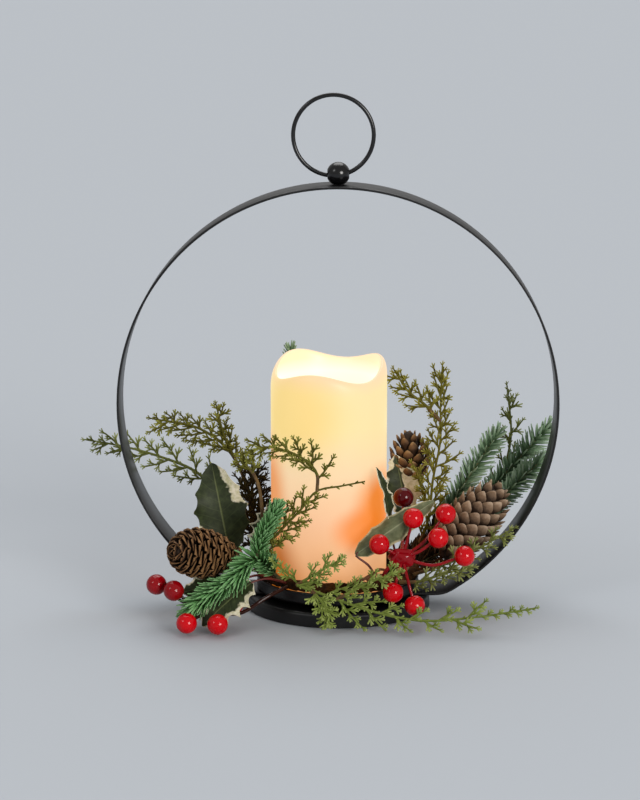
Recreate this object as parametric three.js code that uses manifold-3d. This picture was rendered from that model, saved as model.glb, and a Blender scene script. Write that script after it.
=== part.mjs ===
// A hoop lantern: a flat strap bent to a circle, a drip tray on a foot, a battery pillar candle with a
// carved rim, and a wreath of artificial cedar, pine, holly, cones and berries wired round the candle.
// Millimetres, +Z up, front towards -Y. The origin is on the floor under the middle of the foot.

import * as THREE from 'three';
import { mergeVertices } from 'three/addons/utils/BufferGeometryUtils.js';
import Module from 'manifold-3d';

const wasm = await Module();
wasm.setup();

// Clearances
const seatGap = 0.3;
const runningGap = 0.4;
const floorGap = 0.3;

// Hoop
const hoopOuterRadius = 145;
const hoopFlatDepth = 18.3;
const strapWidth = 32;
const strapThickness = 1.5;

// Finial ball, its screw and the hanging ring
const ballRadius = 7.7;
const ballSeatRadius = 4;
const ringOuterDiameter = 55;
const ringWireDiameter = 2.8;
const ringLean = THREE.MathUtils.degToRad(7);
const finialScrewRadius = 1.5;
const finialScrewDepth = 2.4;
const finialHeadRadius = 3.4;
const finialHeadHeight = 1.2;
const finialHeadSlope = 1.2;
const screwChamfer = 0.5;

// Foot and tray, pressed from sheet
const sheetThickness = 1.2;
const footHeight = 9.5;
const footLedge = 7.5;
const pressRadius = 2.5;
const trayHeight = 9;
const rivetSpacing = 32;
const rivetRadius = 2;
const rivetHeadRadius = 4;
const rivetHeadHeight = 1.2;
const padThickness = 2;

// Facets round each kind of round piece
const strapFacets = 28;
const sheetFacets = 28;
const shellFacets = 26;
const housingFacets = 20;
const smallFacets = 8;

// Candle shell
const candleRadius = 38.4;
const candleHeight = 148.5;
const candleOffset = 6;
const candlePlay = 2.8;
const shellWall = 4.4;
const wellDepth = 32;
const wellFloorThickness = 3;
const rimTilt = 4;
const rimTiltAngle = THREE.MathUtils.degToRad(80);
const rimWave = 4;
const rimCrests = 3;
const rimCrestAngle = THREE.MathUtils.degToRad(15);
const candleLiftTravel = 100;

// Battery housing, cells and lamp
const baseRecess = 2.5;
const basePlateThickness = 4.5;
const cellRadius = 5.25;
const cellLength = 44.5;
const cellCount = 3;
const cellGap = 0.5;
const cellNubRadius = 1.9;
const cellNubHeight = 1;
const contactThickness = 0.7;
const springHeight = 3.6;
const housingWall = 2;
const postRadius = 6;
const coverShoulder = 4;
const coverThickness = 2.5;
const coverTwist = THREE.MathUtils.degToRad(30);
const lugLength = 1.8;
const lugWidth = 6;
const lugThickness = 1.1;
const coinSlotLength = 16;
const coinSlotWidth = 2;
const coinSlotDepth = 1;
const switchOffset = 26;
const switchSide = 4;
const switchTravel = 4;
const switchFlangeThickness = 1.2;
const boardRadius = 12;
const boardThickness = 1.6;
const lampRadius = 3.2;
const lampFlangeHeight = 1;
const lampRise = 9;

// Wreath
const wreathTubeRadius = 3.8;
const rimReach = 3;
const berryRadius = 6.7;
const stalkRadius = 1;
const cedarStemRadius = 1.3;
const cedarTipRadius = 0.7;
const branchRadius = 0.95;
const branchAngle = THREE.MathUtils.degToRad(42);
const twigPlace = 0.42;
const twigLength = 0.45;
const lastFork = 0.96;
const bareEnd = 0.03;
const reachAtFoot = 1.05;
const reachLoss = 0.7;
const needleLength = 12;
const needleAngle = THREE.MathUtils.degToRad(48);
const needleTwist = THREE.MathUtils.degToRad(25);
const leafThickness = 0.8;
const leafSpines = 4;
const spineMargin = 1.12;
const hollowMargin = 0.74;
const leafStart = 0.8;
const petioleRadius = 1.1;
const petioleSteps = 2;
const coneWireRadius = 1.5;
const coneWireDepth = 4;
const coneValley = 0.78;
const coneLift = 0.24;

// Places that follow from the sizes above
const strapUnderside = footHeight + seatGap;
const hoopCentreHeight = strapUnderside + hoopOuterRadius - hoopFlatDepth;
const trayUnderside = strapUnderside + strapThickness + seatGap;
const trayFloor = trayUnderside + sheetThickness;
const trayRim = trayUnderside + trayHeight;
const wreathRadius = candleRadius + candleOffset + candlePlay + wreathTubeRadius;
const trayRadius = wreathRadius + rimReach;
const footRadius = trayRadius + footLedge;
const beadRadius = sheetThickness / 2;
const wreathReach = trayRadius - beadRadius - wreathRadius;
const wreathHeight = trayRim - beadRadius
  + Math.sqrt((wreathTubeRadius + beadRadius + seatGap) ** 2 - wreathReach ** 2);
const hoopTop = hoopCentreHeight + hoopOuterRadius;
const ballSeatDrop = Math.sqrt(ballRadius ** 2 - ballSeatRadius ** 2);
const ballHeight = hoopTop + seatGap + ballSeatDrop;
const ringRadius = (ringOuterDiameter - ringWireDiameter) / 2;
const ringWireRadius = ringWireDiameter / 2;
const candleFoot = trayFloor + seatGap;
const boreRadius = candleRadius - shellWall;

const lantern = new THREE.Group();
const candle = new THREE.Group();
candle.position.set(-candleOffset, 0, candleFoot);
lantern.add(candle);

// Finishes, one material for each piece
const finish = (color, roughness, metalness) => (
  new THREE.MeshStandardMaterial({ color, roughness, metalness })
);
const blackMetal = () => finish(0x141416, 0.45, 0.7);
const brightMetal = () => finish(0xb9b9b4, 0.3, 1);
const wax = () => finish(0xffe2b0, 0.55, 0);
const whitePlastic = () => finish(0xe6e0d2, 0.5, 0);
const darkPlastic = () => finish(0x2a2a2c, 0.5, 0);
const cellJacket = () => finish(0x3a4a3c, 0.4, 0.2);
const boardGreen = () => finish(0x1f5a38, 0.5, 0);
const lampLens = () => finish(0xffd890, 0.15, 0);
const blackFelt = () => finish(0x1a1a1b, 0.95, 0);
const stemTape = () => finish(0x5a3a1c, 0.8, 0);
const cedarGreen = () => finish(0x6f7a30, 0.7, 0);
const pineGreen = () => finish(0x3f7a58, 0.6, 0);
const hollyGreen = () => finish(0x2e4426, 0.5, 0);
const coneBrown = () => finish(0x5c4030, 0.85, 0);
const berryRed = () => finish(0xb8081c, 0.15, 0);

// Welds a geometry to shared vertices, drops collapsed faces and turns the faces outwards
const weld = (geometry) => {
  const bare = geometry.clone();
  bare.deleteAttribute('normal');
  bare.deleteAttribute('uv');
  const welded = mergeVertices(bare, 1e-4);
  const place = welded.getAttribute('position');
  const corner = [new THREE.Vector3(), new THREE.Vector3(), new THREE.Vector3()];
  const faces = [];
  let volume = 0;
  for (let i = 0; i < welded.index.count; i += 3) {
    const face = [0, 1, 2].map((k) => welded.index.getX(i + k));
    if (new Set(face).size === 3) {
      face.forEach((vertex, k) => corner[k].fromBufferAttribute(place, vertex));
      volume += corner[0].dot(corner[1].cross(corner[2]));
      faces.push(face);
    }
  }
  welded.setIndex(faces.flatMap((face) => (volume < 0 ? face.reverse() : face)));
  return welded;
};

const toSolid = (geometry) => {
  const welded = weld(geometry);
  return new wasm.Manifold(new wasm.Mesh({
    numProp: 3,
    vertProperties: new Float32Array(welded.getAttribute('position').array),
    triVerts: new Uint32Array(welded.index.array),
  }));
};

const toGeometry = (solid) => {
  const mesh = solid.getMesh();
  const geometry = new THREE.BufferGeometry();
  geometry.setAttribute('position', new THREE.BufferAttribute(mesh.vertProperties, 3));
  geometry.setIndex(new THREE.BufferAttribute(mesh.triVerts, 1));
  geometry.computeVertexNormals();
  return geometry;
};

const joinAll = (solids) => solids.reduce((whole, solid) => whole.add(solid));
const cutAll = (solid, cutters) => cutters.reduce((rest, cutter) => rest.subtract(cutter), solid);

const addPiece = (parent, name, geometry, material) => {
  const mesh = new THREE.Mesh(geometry, material);
  mesh.name = name;
  parent.add(mesh);
  return mesh;
};

// Simple forms standing on +Z
const revolve = (profile, segments) => weld(
  new THREE.LatheGeometry(profile.map(([r, z]) => new THREE.Vector2(r, z)), segments).rotateX(Math.PI / 2),
);
const rod = (radius, bottom, top, segments) => (
  new THREE.CylinderGeometry(radius, radius, top - bottom, segments)
    .rotateX(Math.PI / 2)
    .translate(0, 0, (top + bottom) / 2)
);
const block = (sizeX, sizeY, bottom, top) => (
  new THREE.BoxGeometry(sizeX, sizeY, top - bottom).translate(0, 0, (top + bottom) / 2)
);
const arcPoints = (r, z, radius, from, to, steps) => Array.from({ length: steps + 1 }, (_, i) => {
  const angle = THREE.MathUtils.degToRad(from + (to - from) * i / steps);
  return [r + radius * Math.cos(angle), z + radius * Math.sin(angle)];
});

const evenShares = (steps) => Array.from({ length: steps + 1 }, (_, i) => i / steps);

// Strap: a circle with a flat run at the bottom, grown on all sides when it trims the greenery
const strapOutline = (target, radius, flatHeight) => {
  const half = Math.sqrt(radius ** 2 - (hoopCentreHeight - flatHeight) ** 2);
  const fold = Math.atan2(flatHeight - hoopCentreHeight, half);
  target.moveTo(half, flatHeight);
  target.absarc(0, hoopCentreHeight, radius, fold, Math.PI - fold, false);
  target.lineTo(half, flatHeight);
  return target;
};

const strapSolid = (grow) => {
  const outline = strapOutline(new THREE.Shape(), hoopOuterRadius + grow, strapUnderside - grow);
  const inside = hoopOuterRadius - strapThickness - grow;
  outline.holes.push(strapOutline(new THREE.Path(), inside, strapUnderside + strapThickness + grow));
  const width = strapWidth + 2 * grow;
  const strap = new THREE.ExtrudeGeometry(outline, {
    depth: width,
    bevelEnabled: false,
    curveSegments: strapFacets,
  });
  return toSolid(strap.rotateX(Math.PI / 2).translate(0, width / 2, 0));
};

const rivetHoles = [-1, 1].map((side) => toSolid(
  rod(rivetRadius + seatGap, 0, trayRim, smallFacets).translate(side * rivetSpacing / 2, 0, 0),
));
const finialHole = toSolid(rod(finialScrewRadius + seatGap, hoopTop - 5, hoopTop + 5, smallFacets));
const hoopBand = cutAll(strapSolid(0), [...rivetHoles, finialHole]);
addPiece(lantern, 'hoop_band', toGeometry(hoopBand), blackMetal());

// Ball: a flat seat below, a tapped hole for the screw, and a cross hole wide enough for the ring's curve
const ringCentreX = -ringRadius * Math.sin(ringLean);
const ringRise = ringRadius * Math.cos(ringLean);
const wireLow = ringRise - ringRadius;
const wireHigh = ringRise - Math.sqrt(ringRadius ** 2 - (ballRadius - ringCentreX) ** 2);
const ringDrop = (wireHigh + wireLow) / 2;
const crossHoleRadius = (wireHigh - wireLow) / 2 + ringWireRadius + runningGap;

const addFinial = () => {
  const seatAngle = -THREE.MathUtils.radToDeg(Math.acos(ballSeatRadius / ballRadius));
  const profile = [[0, -ballSeatDrop], ...arcPoints(0, 0, ballRadius, seatAngle, 90, 6)];
  profile[profile.length - 1][0] = 0;
  const crossHole = rod(crossHoleRadius, -2 * ballRadius, 2 * ballRadius, 2 * smallFacets);
  crossHole.rotateY(Math.PI / 2);
  const tappedTop = finialScrewDepth + screwChamfer - ballSeatDrop;
  const tapped = rod(finialScrewRadius + seatGap, -ballRadius, tappedTop, smallFacets);
  const ball = cutAll(toSolid(revolve(profile, 2 * smallFacets)), [toSolid(crossHole), toSolid(tapped)]);
  addPiece(lantern, 'finial_ball', toGeometry(ball), blackMetal()).position.z = ballHeight;

  const headTop = hoopTop - strapThickness - seatGap;
  const tip = hoopTop + seatGap + finialScrewDepth;
  const screw = revolve([
    [0, headTop - finialHeadHeight],
    [finialHeadRadius - finialHeadSlope, headTop - finialHeadHeight],
    [finialHeadRadius, headTop - finialHeadHeight / 3],
    [finialHeadRadius, headTop],
    [finialScrewRadius, headTop],
    [finialScrewRadius, tip - screwChamfer],
    [finialScrewRadius - screwChamfer, tip],
    [0, tip],
  ], smallFacets);
  addPiece(lantern, 'finial_screw', screw, blackMetal());

  const ring = weld(new THREE.TorusGeometry(ringRadius, ringWireRadius, 6, 32).rotateX(Math.PI / 2));
  const ringMesh = addPiece(lantern, 'hanging_ring', ring, blackMetal());
  ringMesh.position.set(ringCentreX, 0, ballHeight + ringRise - ringDrop);
};
addFinial();

// Foot: a shallow pan turned over, closed by a felt-faced pad. Tray: a shallow cup with a rolled rim.
const addBase = () => {
  const innerBend = pressRadius - sheetThickness;
  const foot = revolve([
    [0, footHeight],
    ...arcPoints(footRadius - pressRadius, footHeight - pressRadius, pressRadius, 90, 0, 2),
    [footRadius, 0],
    [footRadius - sheetThickness, 0],
    ...arcPoints(footRadius - pressRadius, footHeight - pressRadius, innerBend, 0, 90, 1),
    [0, footHeight - sheetThickness],
  ], sheetFacets);
  addPiece(lantern, 'base_foot', toGeometry(cutAll(toSolid(foot), rivetHoles)), blackMetal());

  const padRadius = footRadius - sheetThickness - seatGap;
  addPiece(lantern, 'base_pad', weld(rod(padRadius, 0, padThickness, sheetFacets)), blackFelt());

  const tray = revolve([
    [0, trayUnderside],
    ...arcPoints(trayRadius - pressRadius, trayUnderside + pressRadius, pressRadius, -90, 0, 2),
    ...arcPoints(trayRadius - beadRadius, trayRim - beadRadius, beadRadius, 0, 180, 2),
    ...arcPoints(trayRadius - pressRadius, trayUnderside + pressRadius, innerBend, 0, -90, 1),
    [0, trayFloor],
  ], sheetFacets);
  addPiece(lantern, 'candle_tray', toGeometry(cutAll(toSolid(tray), rivetHoles)), blackMetal());

  const headSeat = trayFloor + seatGap;
  const tailSeat = footHeight - sheetThickness - seatGap;
  const rivet = revolve([
    [0, tailSeat - rivetHeadHeight],
    [rivetHeadRadius - 1, tailSeat - rivetHeadHeight],
    [rivetHeadRadius, tailSeat],
    [rivetRadius, tailSeat],
    [rivetRadius, headSeat],
    [rivetHeadRadius, headSeat],
    [rivetHeadRadius - 1, headSeat + rivetHeadHeight],
    [0, headSeat + rivetHeadHeight],
  ], smallFacets);
  addPiece(lantern, 'tray_rivet_left', rivet.clone(), blackMetal()).position.x = -rivetSpacing / 2;
  addPiece(lantern, 'tray_rivet_right', rivet.clone(), blackMetal()).position.x = rivetSpacing / 2;
};
addBase();

// Candle shell: a hollow pillar whose rim rises and falls in three crests over a slight tilt
const rimRise = (angle) => rimTilt * Math.cos(angle - rimTiltAngle)
  + rimWave * Math.cos(rimCrests * (angle - rimCrestAngle));
const wellFloor = candleHeight - wellDepth;
const wellCeiling = wellFloor - wellFloorThickness;
const lampHoleRadius = lampRadius + 1;

const addShell = () => {
  const shell = revolve([
    [boreRadius, 0],
    [candleRadius - 1, 0],
    [candleRadius, 1],
    [candleRadius, candleHeight - 9],
    [candleRadius - 0.5, candleHeight - 4.5],
    [candleRadius - 1.7, candleHeight - 1.3],
    [candleRadius - 3.3, candleHeight],
    [candleRadius - 4.8, candleHeight - 1.3],
    [candleRadius - 5.8, candleHeight - 4.5],
    [candleRadius - 6.4, candleHeight - 11],
    [candleRadius - 7, wellFloor + 5],
    [candleRadius - 9, wellFloor + 1],
    [candleRadius - 12, wellFloor],
    [lampHoleRadius, wellFloor],
    [lampHoleRadius, wellCeiling],
    [boreRadius, wellCeiling],
    [boreRadius, 0],
  ], shellFacets);
  const place = shell.getAttribute('position');
  for (let i = 0; i < place.count; i += 1) {
    if (place.getZ(i) > candleHeight - wellDepth / 2) {
      place.setZ(i, place.getZ(i) + rimRise(Math.atan2(place.getY(i), place.getX(i))));
    }
  }
  shell.computeVertexNormals();
  addPiece(candle, 'candle_shell', shell, wax());
};
addShell();

// Battery housing: a base plate with a twist-lock cover, a tube for the cells and a post up to the lamp
const plateTop = baseRecess + basePlateThickness;
const cellPitch = (2 * cellRadius + cellGap) / Math.sqrt(3);
const cavityRadius = cellPitch + cellRadius + 0.6;
const coverRadius = cavityRadius + coverShoulder;
const coverTop = baseRecess + coverThickness;
const lugBottom = coverTop - lugThickness;
const contactBottom = coverTop + seatGap;
const cellBottom = contactBottom + contactThickness + springHeight + seatGap;
const cellTop = cellBottom + cellLength;
const cavityTop = cellTop + contactThickness + 2 * seatGap;
const boardTop = wellCeiling - lampFlangeHeight - 2 * seatGap;
const postTop = boardTop - boardThickness - seatGap;

const addHousing = () => {
  const recessTop = coverTop + runningGap;
  const lipTop = lugBottom - runningGap;
  const grooveRadius = Math.hypot(coverRadius + lugLength, lugWidth / 2) + 2 * runningGap;
  const housing = revolve([
    [0, postTop],
    [postRadius, postTop],
    [postRadius, cavityTop + housingWall],
    [cavityRadius + housingWall, cavityTop + housingWall],
    [cavityRadius + housingWall, plateTop],
    [boreRadius - runningGap, plateTop],
    [boreRadius - runningGap, baseRecess],
    [coverRadius + runningGap, baseRecess],
    [coverRadius + runningGap, lipTop],
    [grooveRadius, lipTop],
    [grooveRadius, recessTop],
    [cavityRadius, recessTop],
    [cavityRadius, cavityTop],
    [0, cavityTop],
  ], housingFacets);
  const notches = toSolid(block(2 * grooveRadius, lugWidth + 1, 0, recessTop - 0.5).rotateZ(coverTwist));
  const slotLength = switchSide + switchTravel + 2 * runningGap;
  const slot = block(switchSide + 2 * runningGap, slotLength, 0, plateTop + 1).translate(switchOffset, 0, 0);
  const body = cutAll(toSolid(housing), [notches, toSolid(slot)]);
  addPiece(candle, 'battery_housing', toGeometry(body), whitePlastic());

  const disc = toSolid(rod(coverRadius, baseRecess, coverTop, housingFacets));
  const lugs = toSolid(block(2 * (coverRadius + lugLength), lugWidth, lugBottom, coverTop));
  const coinSlot = toSolid(block(coinSlotLength, coinSlotWidth, 0, baseRecess + coinSlotDepth));
  addPiece(candle, 'battery_cover', toGeometry(disc.add(lugs).subtract(coinSlot)), whitePlastic());

  const stemProfile = [
    [0, plateTop + runningGap + switchFlangeThickness],
    [switchSide / 2 + 1.2, plateTop + runningGap + switchFlangeThickness],
    [switchSide / 2 + 1.2, plateTop + runningGap],
    [switchSide / 2, plateTop + runningGap],
    [switchSide / 2, baseRecess - 0.5],
    [0, baseRecess - 0.5],
  ];
  const tee = new THREE.Shape([
    ...stemProfile.map(([x, z]) => new THREE.Vector2(x, z)),
    ...stemProfile.slice(1, -1).reverse().map(([x, z]) => new THREE.Vector2(-x, z)),
  ]);
  const knob = new THREE.ExtrudeGeometry(tee, { depth: switchSide, bevelEnabled: false });
  knob.rotateX(Math.PI / 2).translate(switchOffset, switchSide / 2 - switchTravel / 2, 0);
  addPiece(candle, 'switch_knob', weld(knob), darkPlastic());
};
addHousing();

// Cells standing upright round the axis, the plate above them and the sprung plate on the cover
const addCells = () => {
  const springs = [];
  for (let i = 0; i < cellCount; i += 1) {
    const angle = 2 * Math.PI * i / cellCount;
    const x = cellPitch * Math.cos(angle);
    const y = cellPitch * Math.sin(angle);
    const cell = revolve([
      [0, cellBottom],
      [cellRadius, cellBottom],
      [cellRadius, cellTop - cellNubHeight],
      [cellNubRadius, cellTop - cellNubHeight],
      [cellNubRadius, cellTop],
      [0, cellTop],
    ], smallFacets);
    addPiece(candle, `battery_${i + 1}`, cell, cellJacket()).position.set(x, y, 0);
    const cup = new THREE.CylinderGeometry(2, 3.6, springHeight + contactThickness, 6).rotateX(Math.PI / 2);
    springs.push(toSolid(cup.translate(x, y, contactBottom + (springHeight + contactThickness) / 2)));
  }
  const lowerDisc = toSolid(rod(cavityRadius - 0.8, contactBottom, contactBottom + contactThickness, 12));
  addPiece(candle, 'cover_contact', toGeometry(joinAll([lowerDisc, ...springs])), brightMetal());
  const upperBottom = cellTop + seatGap;
  const upperDisc = rod(cavityRadius - 0.8, upperBottom, upperBottom + contactThickness, 12);
  addPiece(candle, 'contact_plate', weld(upperDisc), brightMetal());
};
addCells();

// Lamp: a round board on the post, and a domed lamp through the floor of the well
const addLamp = () => {
  const board = rod(boardRadius, boardTop - boardThickness, boardTop, 2 * smallFacets);
  addPiece(candle, 'led_board', weld(board), boardGreen());
  const flangeBottom = boardTop + seatGap;
  const domeCentre = wellFloor + lampRise - lampRadius;
  const dome = arcPoints(0, domeCentre, lampRadius, 0, 90, 4);
  dome[dome.length - 1][0] = 0;
  const lamp = revolve([
    [0, flangeBottom],
    [lampRadius + 1.6, flangeBottom],
    [lampRadius + 1.6, flangeBottom + lampFlangeHeight],
    [lampRadius, flangeBottom + lampFlangeHeight],
    ...dome,
  ], smallFacets);
  addPiece(candle, 'led_bulb', lamp, lampLens());
};
addLamp();

// Wreath ring: taped wire lying on the tray's rim
const wreathTube = (grow) => new THREE.TorusGeometry(wreathRadius, wreathTubeRadius + grow, 6, sheetFacets)
  .translate(0, 0, wreathHeight);
addPiece(lantern, 'wreath_ring', weld(wreathTube(0)), stemTape());

// Greenery is rooted on the wire inside the ring, at an angle counted from +X towards the back
const rootAt = (degrees) => {
  const angle = THREE.MathUtils.degToRad(degrees);
  return new THREE.Vector3(wreathRadius * Math.cos(angle), wreathRadius * Math.sin(angle), wreathHeight);
};
const fromRoot = (root, offset) => root.clone().add(new THREE.Vector3(...offset));

// What greenery is trimmed against, grown by the seat gap: first the frame, then every piece placed so far
const candlePath = rod(candleRadius + 1, 0, candleFoot + candleHeight + candleLiftTravel + 40, 36)
  .translate(-candleOffset, 0, 0);
const floorSlab = block(1000, 1000, -100, floorGap);
const obstacles = [
  strapSolid(seatGap),
  toSolid(candlePath),
  toSolid(floorSlab),
  toSolid(rod(footRadius + seatGap, -1, footHeight + seatGap, 36)),
  toSolid(rod(trayRadius + seatGap, 0, trayRim + seatGap, 36)),
  toSolid(wreathTube(seatGap)),
];

const boxesMeet = (a, b) => [0, 1, 2].every((k) => a.min[k] <= b.max[k] && b.min[k] <= a.max[k]);

// Trims a piece against the obstacles and keeps the body that is still joined to its root
const trimToRoot = (solid, root) => {
  const box = solid.boundingBox();
  const rest = cutAll(solid, obstacles.filter((obstacle) => boxesMeet(box, obstacle.boundingBox())));
  const distance = (body) => {
    const places = body.getMesh().vertProperties;
    let nearest = Infinity;
    for (let i = 0; i < places.length; i += 3) {
      nearest = Math.min(nearest, root.distanceTo(new THREE.Vector3().fromArray(places, i)));
    }
    return nearest;
  };
  const bodies = rest.decompose();
  return bodies.reduce((best, body) => (distance(body) < distance(best) ? body : best));
};

const addGreenery = (name, root, make, material) => {
  addPiece(lantern, name, toGeometry(trimToRoot(make(0), root)), material);
  obstacles.push(make(seatGap));
};

// A growing mesh of places and faces
const newMesh = () => ({ places: [], faces: [] });
const addPlace = (mesh, point) => mesh.places.push(point) - 1;
const meshGeometry = (mesh) => {
  const geometry = new THREE.BufferGeometry();
  geometry.setFromPoints(mesh.places);
  geometry.setIndex(mesh.faces);
  return geometry;
};

// Four corners of a square section
const addSection = (mesh, centre, side, face, radius) => [[1, 1], [-1, 1], [-1, -1], [1, -1]].map(
  ([s, f]) => addPlace(mesh, centre.clone()
    .addScaledVector(side, s * radius * Math.SQRT1_2)
    .addScaledVector(face, f * radius * Math.SQRT1_2)),
);
const addWall = (mesh, [a, b, c, d]) => mesh.faces.push(a, b, c, a, c, d);
const wallCorners = (lower, upper, k) => [lower[k], lower[(k + 1) % 4], upper[(k + 1) % 4], upper[k]];
const middleOf = (mesh, corners) => corners
  .reduce((sum, place) => sum.add(mesh.places[place]), new THREE.Vector3()).divideScalar(corners.length);

// A point that rises from four corners. A grown one ends blunt, so that it clears the sharp one all round.
const addSpike = (mesh, corners, tip, grow) => {
  if (grow === 0) {
    const point = addPlace(mesh, tip);
    corners.forEach((corner, k) => mesh.faces.push(corner, corners[(k + 1) % 4], point));
    return;
  }
  const middle = middleOf(mesh, corners);
  const heading = tip.clone().sub(middle).normalize();
  const blunt = corners.map((corner) => {
    const outward = mesh.places[corner].clone().sub(middle).projectOnPlane(heading).setLength(1.5 * grow);
    return addPlace(mesh, tip.clone().addScaledVector(heading, grow).add(outward));
  });
  [0, 1, 2, 3].forEach((k) => addWall(mesh, wallCorners(corners, blunt, k)));
  addWall(mesh, blunt);
};

// A square stem along a curve through the points, tapering to its end.
// shootAt(i, k) may return a function that grows a shoot from wall k of segment i in place of the flat wall.
const stemMesh = (points, { shares, startRadius, endRadius, face, twist = 0, shootAt = () => null }) => {
  const mesh = newMesh();
  const curve = new THREE.CatmullRomCurve3(points);
  const sections = shares.map((share, i) => {
    const tangent = curve.getTangentAt(share);
    const side = tangent.clone().cross(face).normalize().applyAxisAngle(tangent, i * twist);
    const front = side.clone().cross(tangent);
    const radius = THREE.MathUtils.lerp(startRadius, endRadius, share);
    return addSection(mesh, curve.getPointAt(share), side, front, radius);
  });
  for (let i = 0; i + 1 < sections.length; i += 1) {
    for (let k = 0; k < 4; k += 1) {
      const corners = wallCorners(sections[i], sections[i + 1], k);
      const shoot = shootAt(i, k);
      if (shoot) {
        shoot(mesh, corners, curve);
      } else {
        addWall(mesh, corners);
      }
    }
  }
  addWall(mesh, [...sections[0]].reverse());
  addWall(mesh, sections[sections.length - 1]);
  return mesh;
};

const plainStem = (points, startRadius, endRadius, steps) => toSolid(meshGeometry(stemMesh(points, {
  shares: evenShares(steps), startRadius, endRadius, face: new THREE.Vector3(0.1, -0.6, 0.8).normalize(),
})));

// Berries hang on stalks that leave one fork
const addBerries = (side, spec) => {
  const root = rootAt(spec.ring);
  const fork = fromRoot(root, spec.fork);
  const centres = spec.berries.map((offset) => fromRoot(root, offset));
  centres.forEach((centre, i) => {
    const ball = (grow) => new THREE.IcosahedronGeometry(berryRadius + grow, 1).translate(...centre);
    addPiece(lantern, `berry_${side}_${i + 1}`, weld(ball(0)), berryRed());
    obstacles.push(toSolid(ball(seatGap)));
  });
  const stalks = (grow) => joinAll([
    plainStem([root, ...spec.path.map((offset) => fromRoot(root, offset)), fork],
      1.5 * stalkRadius + grow, 1.3 * stalkRadius + grow, 3),
    ...centres.map((centre, i) => {
      const bend = fork.clone().lerp(centre, 0.5).add(new THREE.Vector3(...spec.bows[i]));
      const back = bend.clone().sub(centre).setLength(berryRadius + seatGap);
      return plainStem([fork, bend, centre.clone().add(back)], stalkRadius + grow, stalkRadius + grow, 2);
    }),
  ]);
  return () => addGreenery(`berry_stem_${side}`, root, stalks, berryRed());
};

// Cones: rows of rhombic scales set half a step round from row to row, each lifted at its upper edge
const coneShape = (share, widest) => {
  const lower = Math.sin(Math.PI / 2 * Math.min(1, (share + 0.15) / (widest + 0.15)));
  const upper = Math.sqrt(1 - Math.max(0, (share - widest) / (1.06 - widest)) ** 2);
  return lower * upper;
};

const coneMesh = (spec, length) => {
  const mesh = newMesh();
  const { radius, widest, rows, columns } = spec;
  const lift = coneLift * radius;
  const onCone = (row, column, outward, shift) => {
    const share = row / rows;
    const angle = 2 * Math.PI * (column + (row % 2) / 2) / columns;
    const r = coneValley * radius * coneShape(share, widest) + outward;
    return new THREE.Vector3(r * Math.cos(angle), r * Math.sin(angle), share * length + shift);
  };
  const grid = Array.from({ length: rows + 1 }, (_, row) => Array.from(
    { length: columns },
    (__, column) => addPlace(mesh, onCone(row, column, 0, 0)),
  ));
  const at = (row, column) => grid[row][(column + columns) % columns];
  const lifted = (place, centre, pull, outward, shift) => {
    const point = mesh.places[place].clone().lerp(centre, pull);
    const radial = new THREE.Vector3(point.x, point.y, 0).normalize();
    point.addScaledVector(radial, outward);
    point.z += shift;
    return addPlace(mesh, point);
  };
  for (let row = 0; row + 2 <= rows; row += 1) {
    const edge = Math.sin(Math.PI * (row + 1.2) / (rows + 0.8));
    for (let column = 0; column < columns; column += 1) {
      const bottom = at(row, column);
      const right = at(row + 1, column + row % 2);
      const left = at(row + 1, column + row % 2 - 1);
      const top = at(row + 2, column);
      const centre = mesh.places[left].clone().add(mesh.places[right]).multiplyScalar(0.5);
      const rise = lift * (0.35 + 0.65 * edge);
      const shift = 0.35 * length / rows;
      const r = lifted(right, centre, 0.2, 0.75 * rise, shift);
      const t = lifted(top, centre, 0.12, rise, shift);
      const l = lifted(left, centre, 0.2, 0.75 * rise, shift);
      mesh.faces.push(bottom, r, t, bottom, t, l, bottom, right, r, right, top, t, right, t, r);
      mesh.faces.push(top, left, l, top, l, t, left, bottom, l);
    }
  }
  const foot = addPlace(mesh, new THREE.Vector3(0, 0, -0.02 * length));
  const crown = addPlace(mesh, new THREE.Vector3(0, 0, 1.03 * length));
  for (let column = 0; column < columns; column += 1) {
    mesh.faces.push(at(1, column), at(0, column), at(0, column + 1), foot, at(0, column + 1), at(0, column));
    const between = at(rows - 1, column + rows % 2);
    mesh.faces.push(at(rows, column), between, at(rows, column + 1));
    mesh.faces.push(at(rows, column), at(rows, column + 1), crown);
  }
  return mesh;
};

const addCone = (name, spec) => {
  const root = rootAt(spec.ring);
  const base = fromRoot(root, spec.base);
  const tip = fromRoot(root, spec.tip);
  const length = base.distanceTo(tip);
  const axis = tip.clone().sub(base).normalize();
  const toPlace = new THREE.Matrix4().compose(
    base,
    new THREE.Quaternion().setFromUnitVectors(new THREE.Vector3(0, 0, 1), axis),
    new THREE.Vector3(1, 1, 1),
  );
  const envelope = (grow) => {
    const profile = evenShares(6).map((share) => [
      1.04 * spec.radius * coneShape(share, spec.widest) + grow,
      share * length,
    ]);
    return revolve([[0, -grow], ...profile, [0, 1.04 * length + grow]], 12);
  };
  const wireEnd = base.clone().addScaledVector(axis, coneWireDepth);
  const wirePoints = [root, fromRoot(root, spec.wire), base, wireEnd];
  const wire = (grow) => plainStem(wirePoints, coneWireRadius + grow, coneWireRadius + grow, 4);
  const make = (grow) => {
    const body = grow > 0 ? envelope(grow) : meshGeometry(coneMesh(spec, length));
    return toSolid(body.applyMatrix4(toPlace)).add(wire(grow));
  };
  addGreenery(name, root, make, coneBrown());
};

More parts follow.
